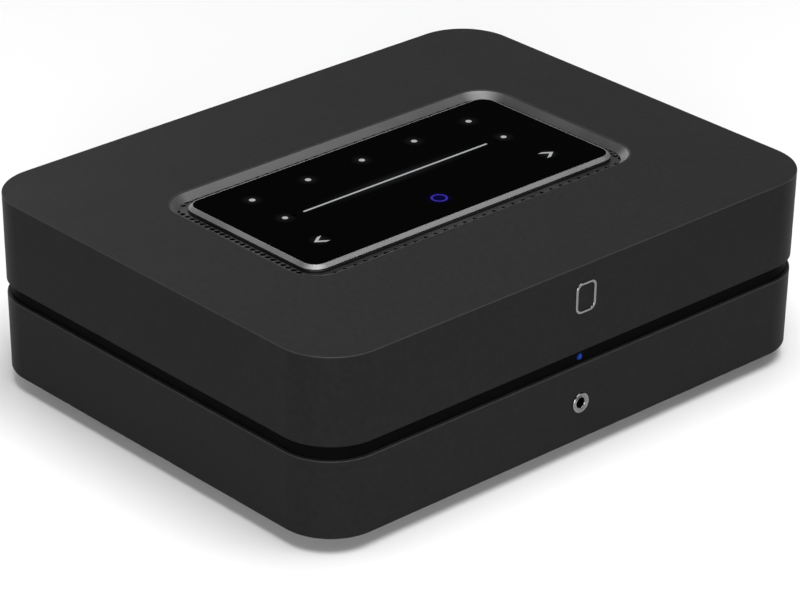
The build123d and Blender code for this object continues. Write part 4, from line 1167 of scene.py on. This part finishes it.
make_upper_shell()
make_lower_shell()
make_seam_frame()
make_well_liner()
make_vent_mesh()
make_panel_frame()
make_touch_glass()
make_marks()
make_headphone_ring()
make_light_guide()
make_emblem()
make_feet()
make_all_screws()
make_rear_panel()
make_network_socket()
make_usb_socket()
make_hdmi_socket()
make_jack("infrared_socket", socket_finish)
make_jack("audio_in_socket", nickel_finish)
make_subwoofer_socket()
make_mains_inlet()
make_posts()


# Camera, at the photograph's place

def direction(azimuth, elevation):
    """The way to something that stands to the right of the front and above it by these degrees."""
    a = radians(azimuth)
    e = radians(elevation)
    return Vector((sin(a) * cos(e), -cos(a) * cos(e), sin(e)))


camera_at = Vector((-768.163, -834.337, 582.961)) * MM + Vector((0, mid_y, base_z))
back = direction(-42.609, 26.458)
roll = radians(0.605)
right = Vector((0, 0, 1)).cross(back).normalized()
up = back.cross(right)
turned_right = cos(roll) * right + sin(roll) * up
turned_up = -sin(roll) * right + cos(roll) * up
camera = bpy.data.cameras.new("camera")
camera.sensor_width = 36
camera.lens = 170
camera_object = new_object("camera", camera)
turn = Matrix((turned_right, turned_up, back)).transposed().to_4x4()
camera_object.matrix_world = Matrix.Translation(camera_at) @ turn
bpy.context.scene.camera = camera_object
bpy.context.scene.view_settings.view_transform = "Standard"


# Floor and light

def seen_directly(tree):
    """One for what the camera sees, also in metal and glass, and zero for the light on the object."""
    path = tree.nodes.new("ShaderNodeLightPath")
    level = path.outputs["Is Camera Ray"]
    for ray in ("Is Glossy Ray", "Is Transmission Ray"):
        level = calculate(tree, "MAXIMUM", level, path.outputs[ray]).outputs[0]
    return level


def make_floor():
    """A plain white floor that keeps the shadow."""
    bm = bmesh.new()
    bmesh.ops.create_grid(bm, x_segments=2, y_segments=2, size=6)
    mesh = to_mesh("floor", bm)
    floor = new_object("floor", mesh)
    floor.location.z = -0.02 * MM
    material, tree, bsdf = shader("floor")
    bsdf.inputs["Roughness"].default_value = 0.9
    bsdf.inputs["IOR"].default_value = 1.01
    link(ramp(tree, seen_directly(tree), grey(0.2), grey(0.86), 0, 1), bsdf.inputs["Base Color"])
    mesh.materials.append(material)


def lamp(name, azimuth, elevation, distance, size, power):
    """A square soft light that points at the housing's middle."""
    away = direction(azimuth, elevation)
    data = bpy.data.lights.new(name, "AREA")
    data.shape = "SQUARE"
    data.size = size
    data.energy = power
    light = new_object(name, data)
    light.location = Vector((0, mid_y, (base_z + top_z) / 2)) + away * distance
    light.rotation_euler = away.to_track_quat("Z", "Y").to_euler()


def make_world():
    """Even light that is white at the horizon and greyer overhead."""
    world = bpy.data.worlds.new("world")
    bpy.context.scene.world = world
    world.use_nodes = True
    tree = world.node_tree
    background = tree.nodes["Background"]
    background.inputs["Color"].default_value = (1, 1, 1, 1)
    place = tree.nodes.new("ShaderNodeTexCoord")
    split = tree.nodes.new("ShaderNodeSeparateXYZ")
    link(place.outputs["Generated"], split.inputs["Vector"])
    low = sin(radians(7))
    high = sin(radians(22))
    fall = spread(tree, split.outputs["Z"], 1, 0, low, high)
    shown = calculate(tree, "MULTIPLY", seen_directly(tree), fall)
    link(spread(tree, shown.outputs[0], 0.12, 1.0, 0, 1), background.inputs["Strength"])


make_floor()
make_world()
lamp("key", -44, 14, 1.4, 0.6, 13.5)
lamp("overhead", 0, 80, 1.5, 1.2, 28)
lamp("rear_fill", 165, 16, 1.6, 0.8, 5)
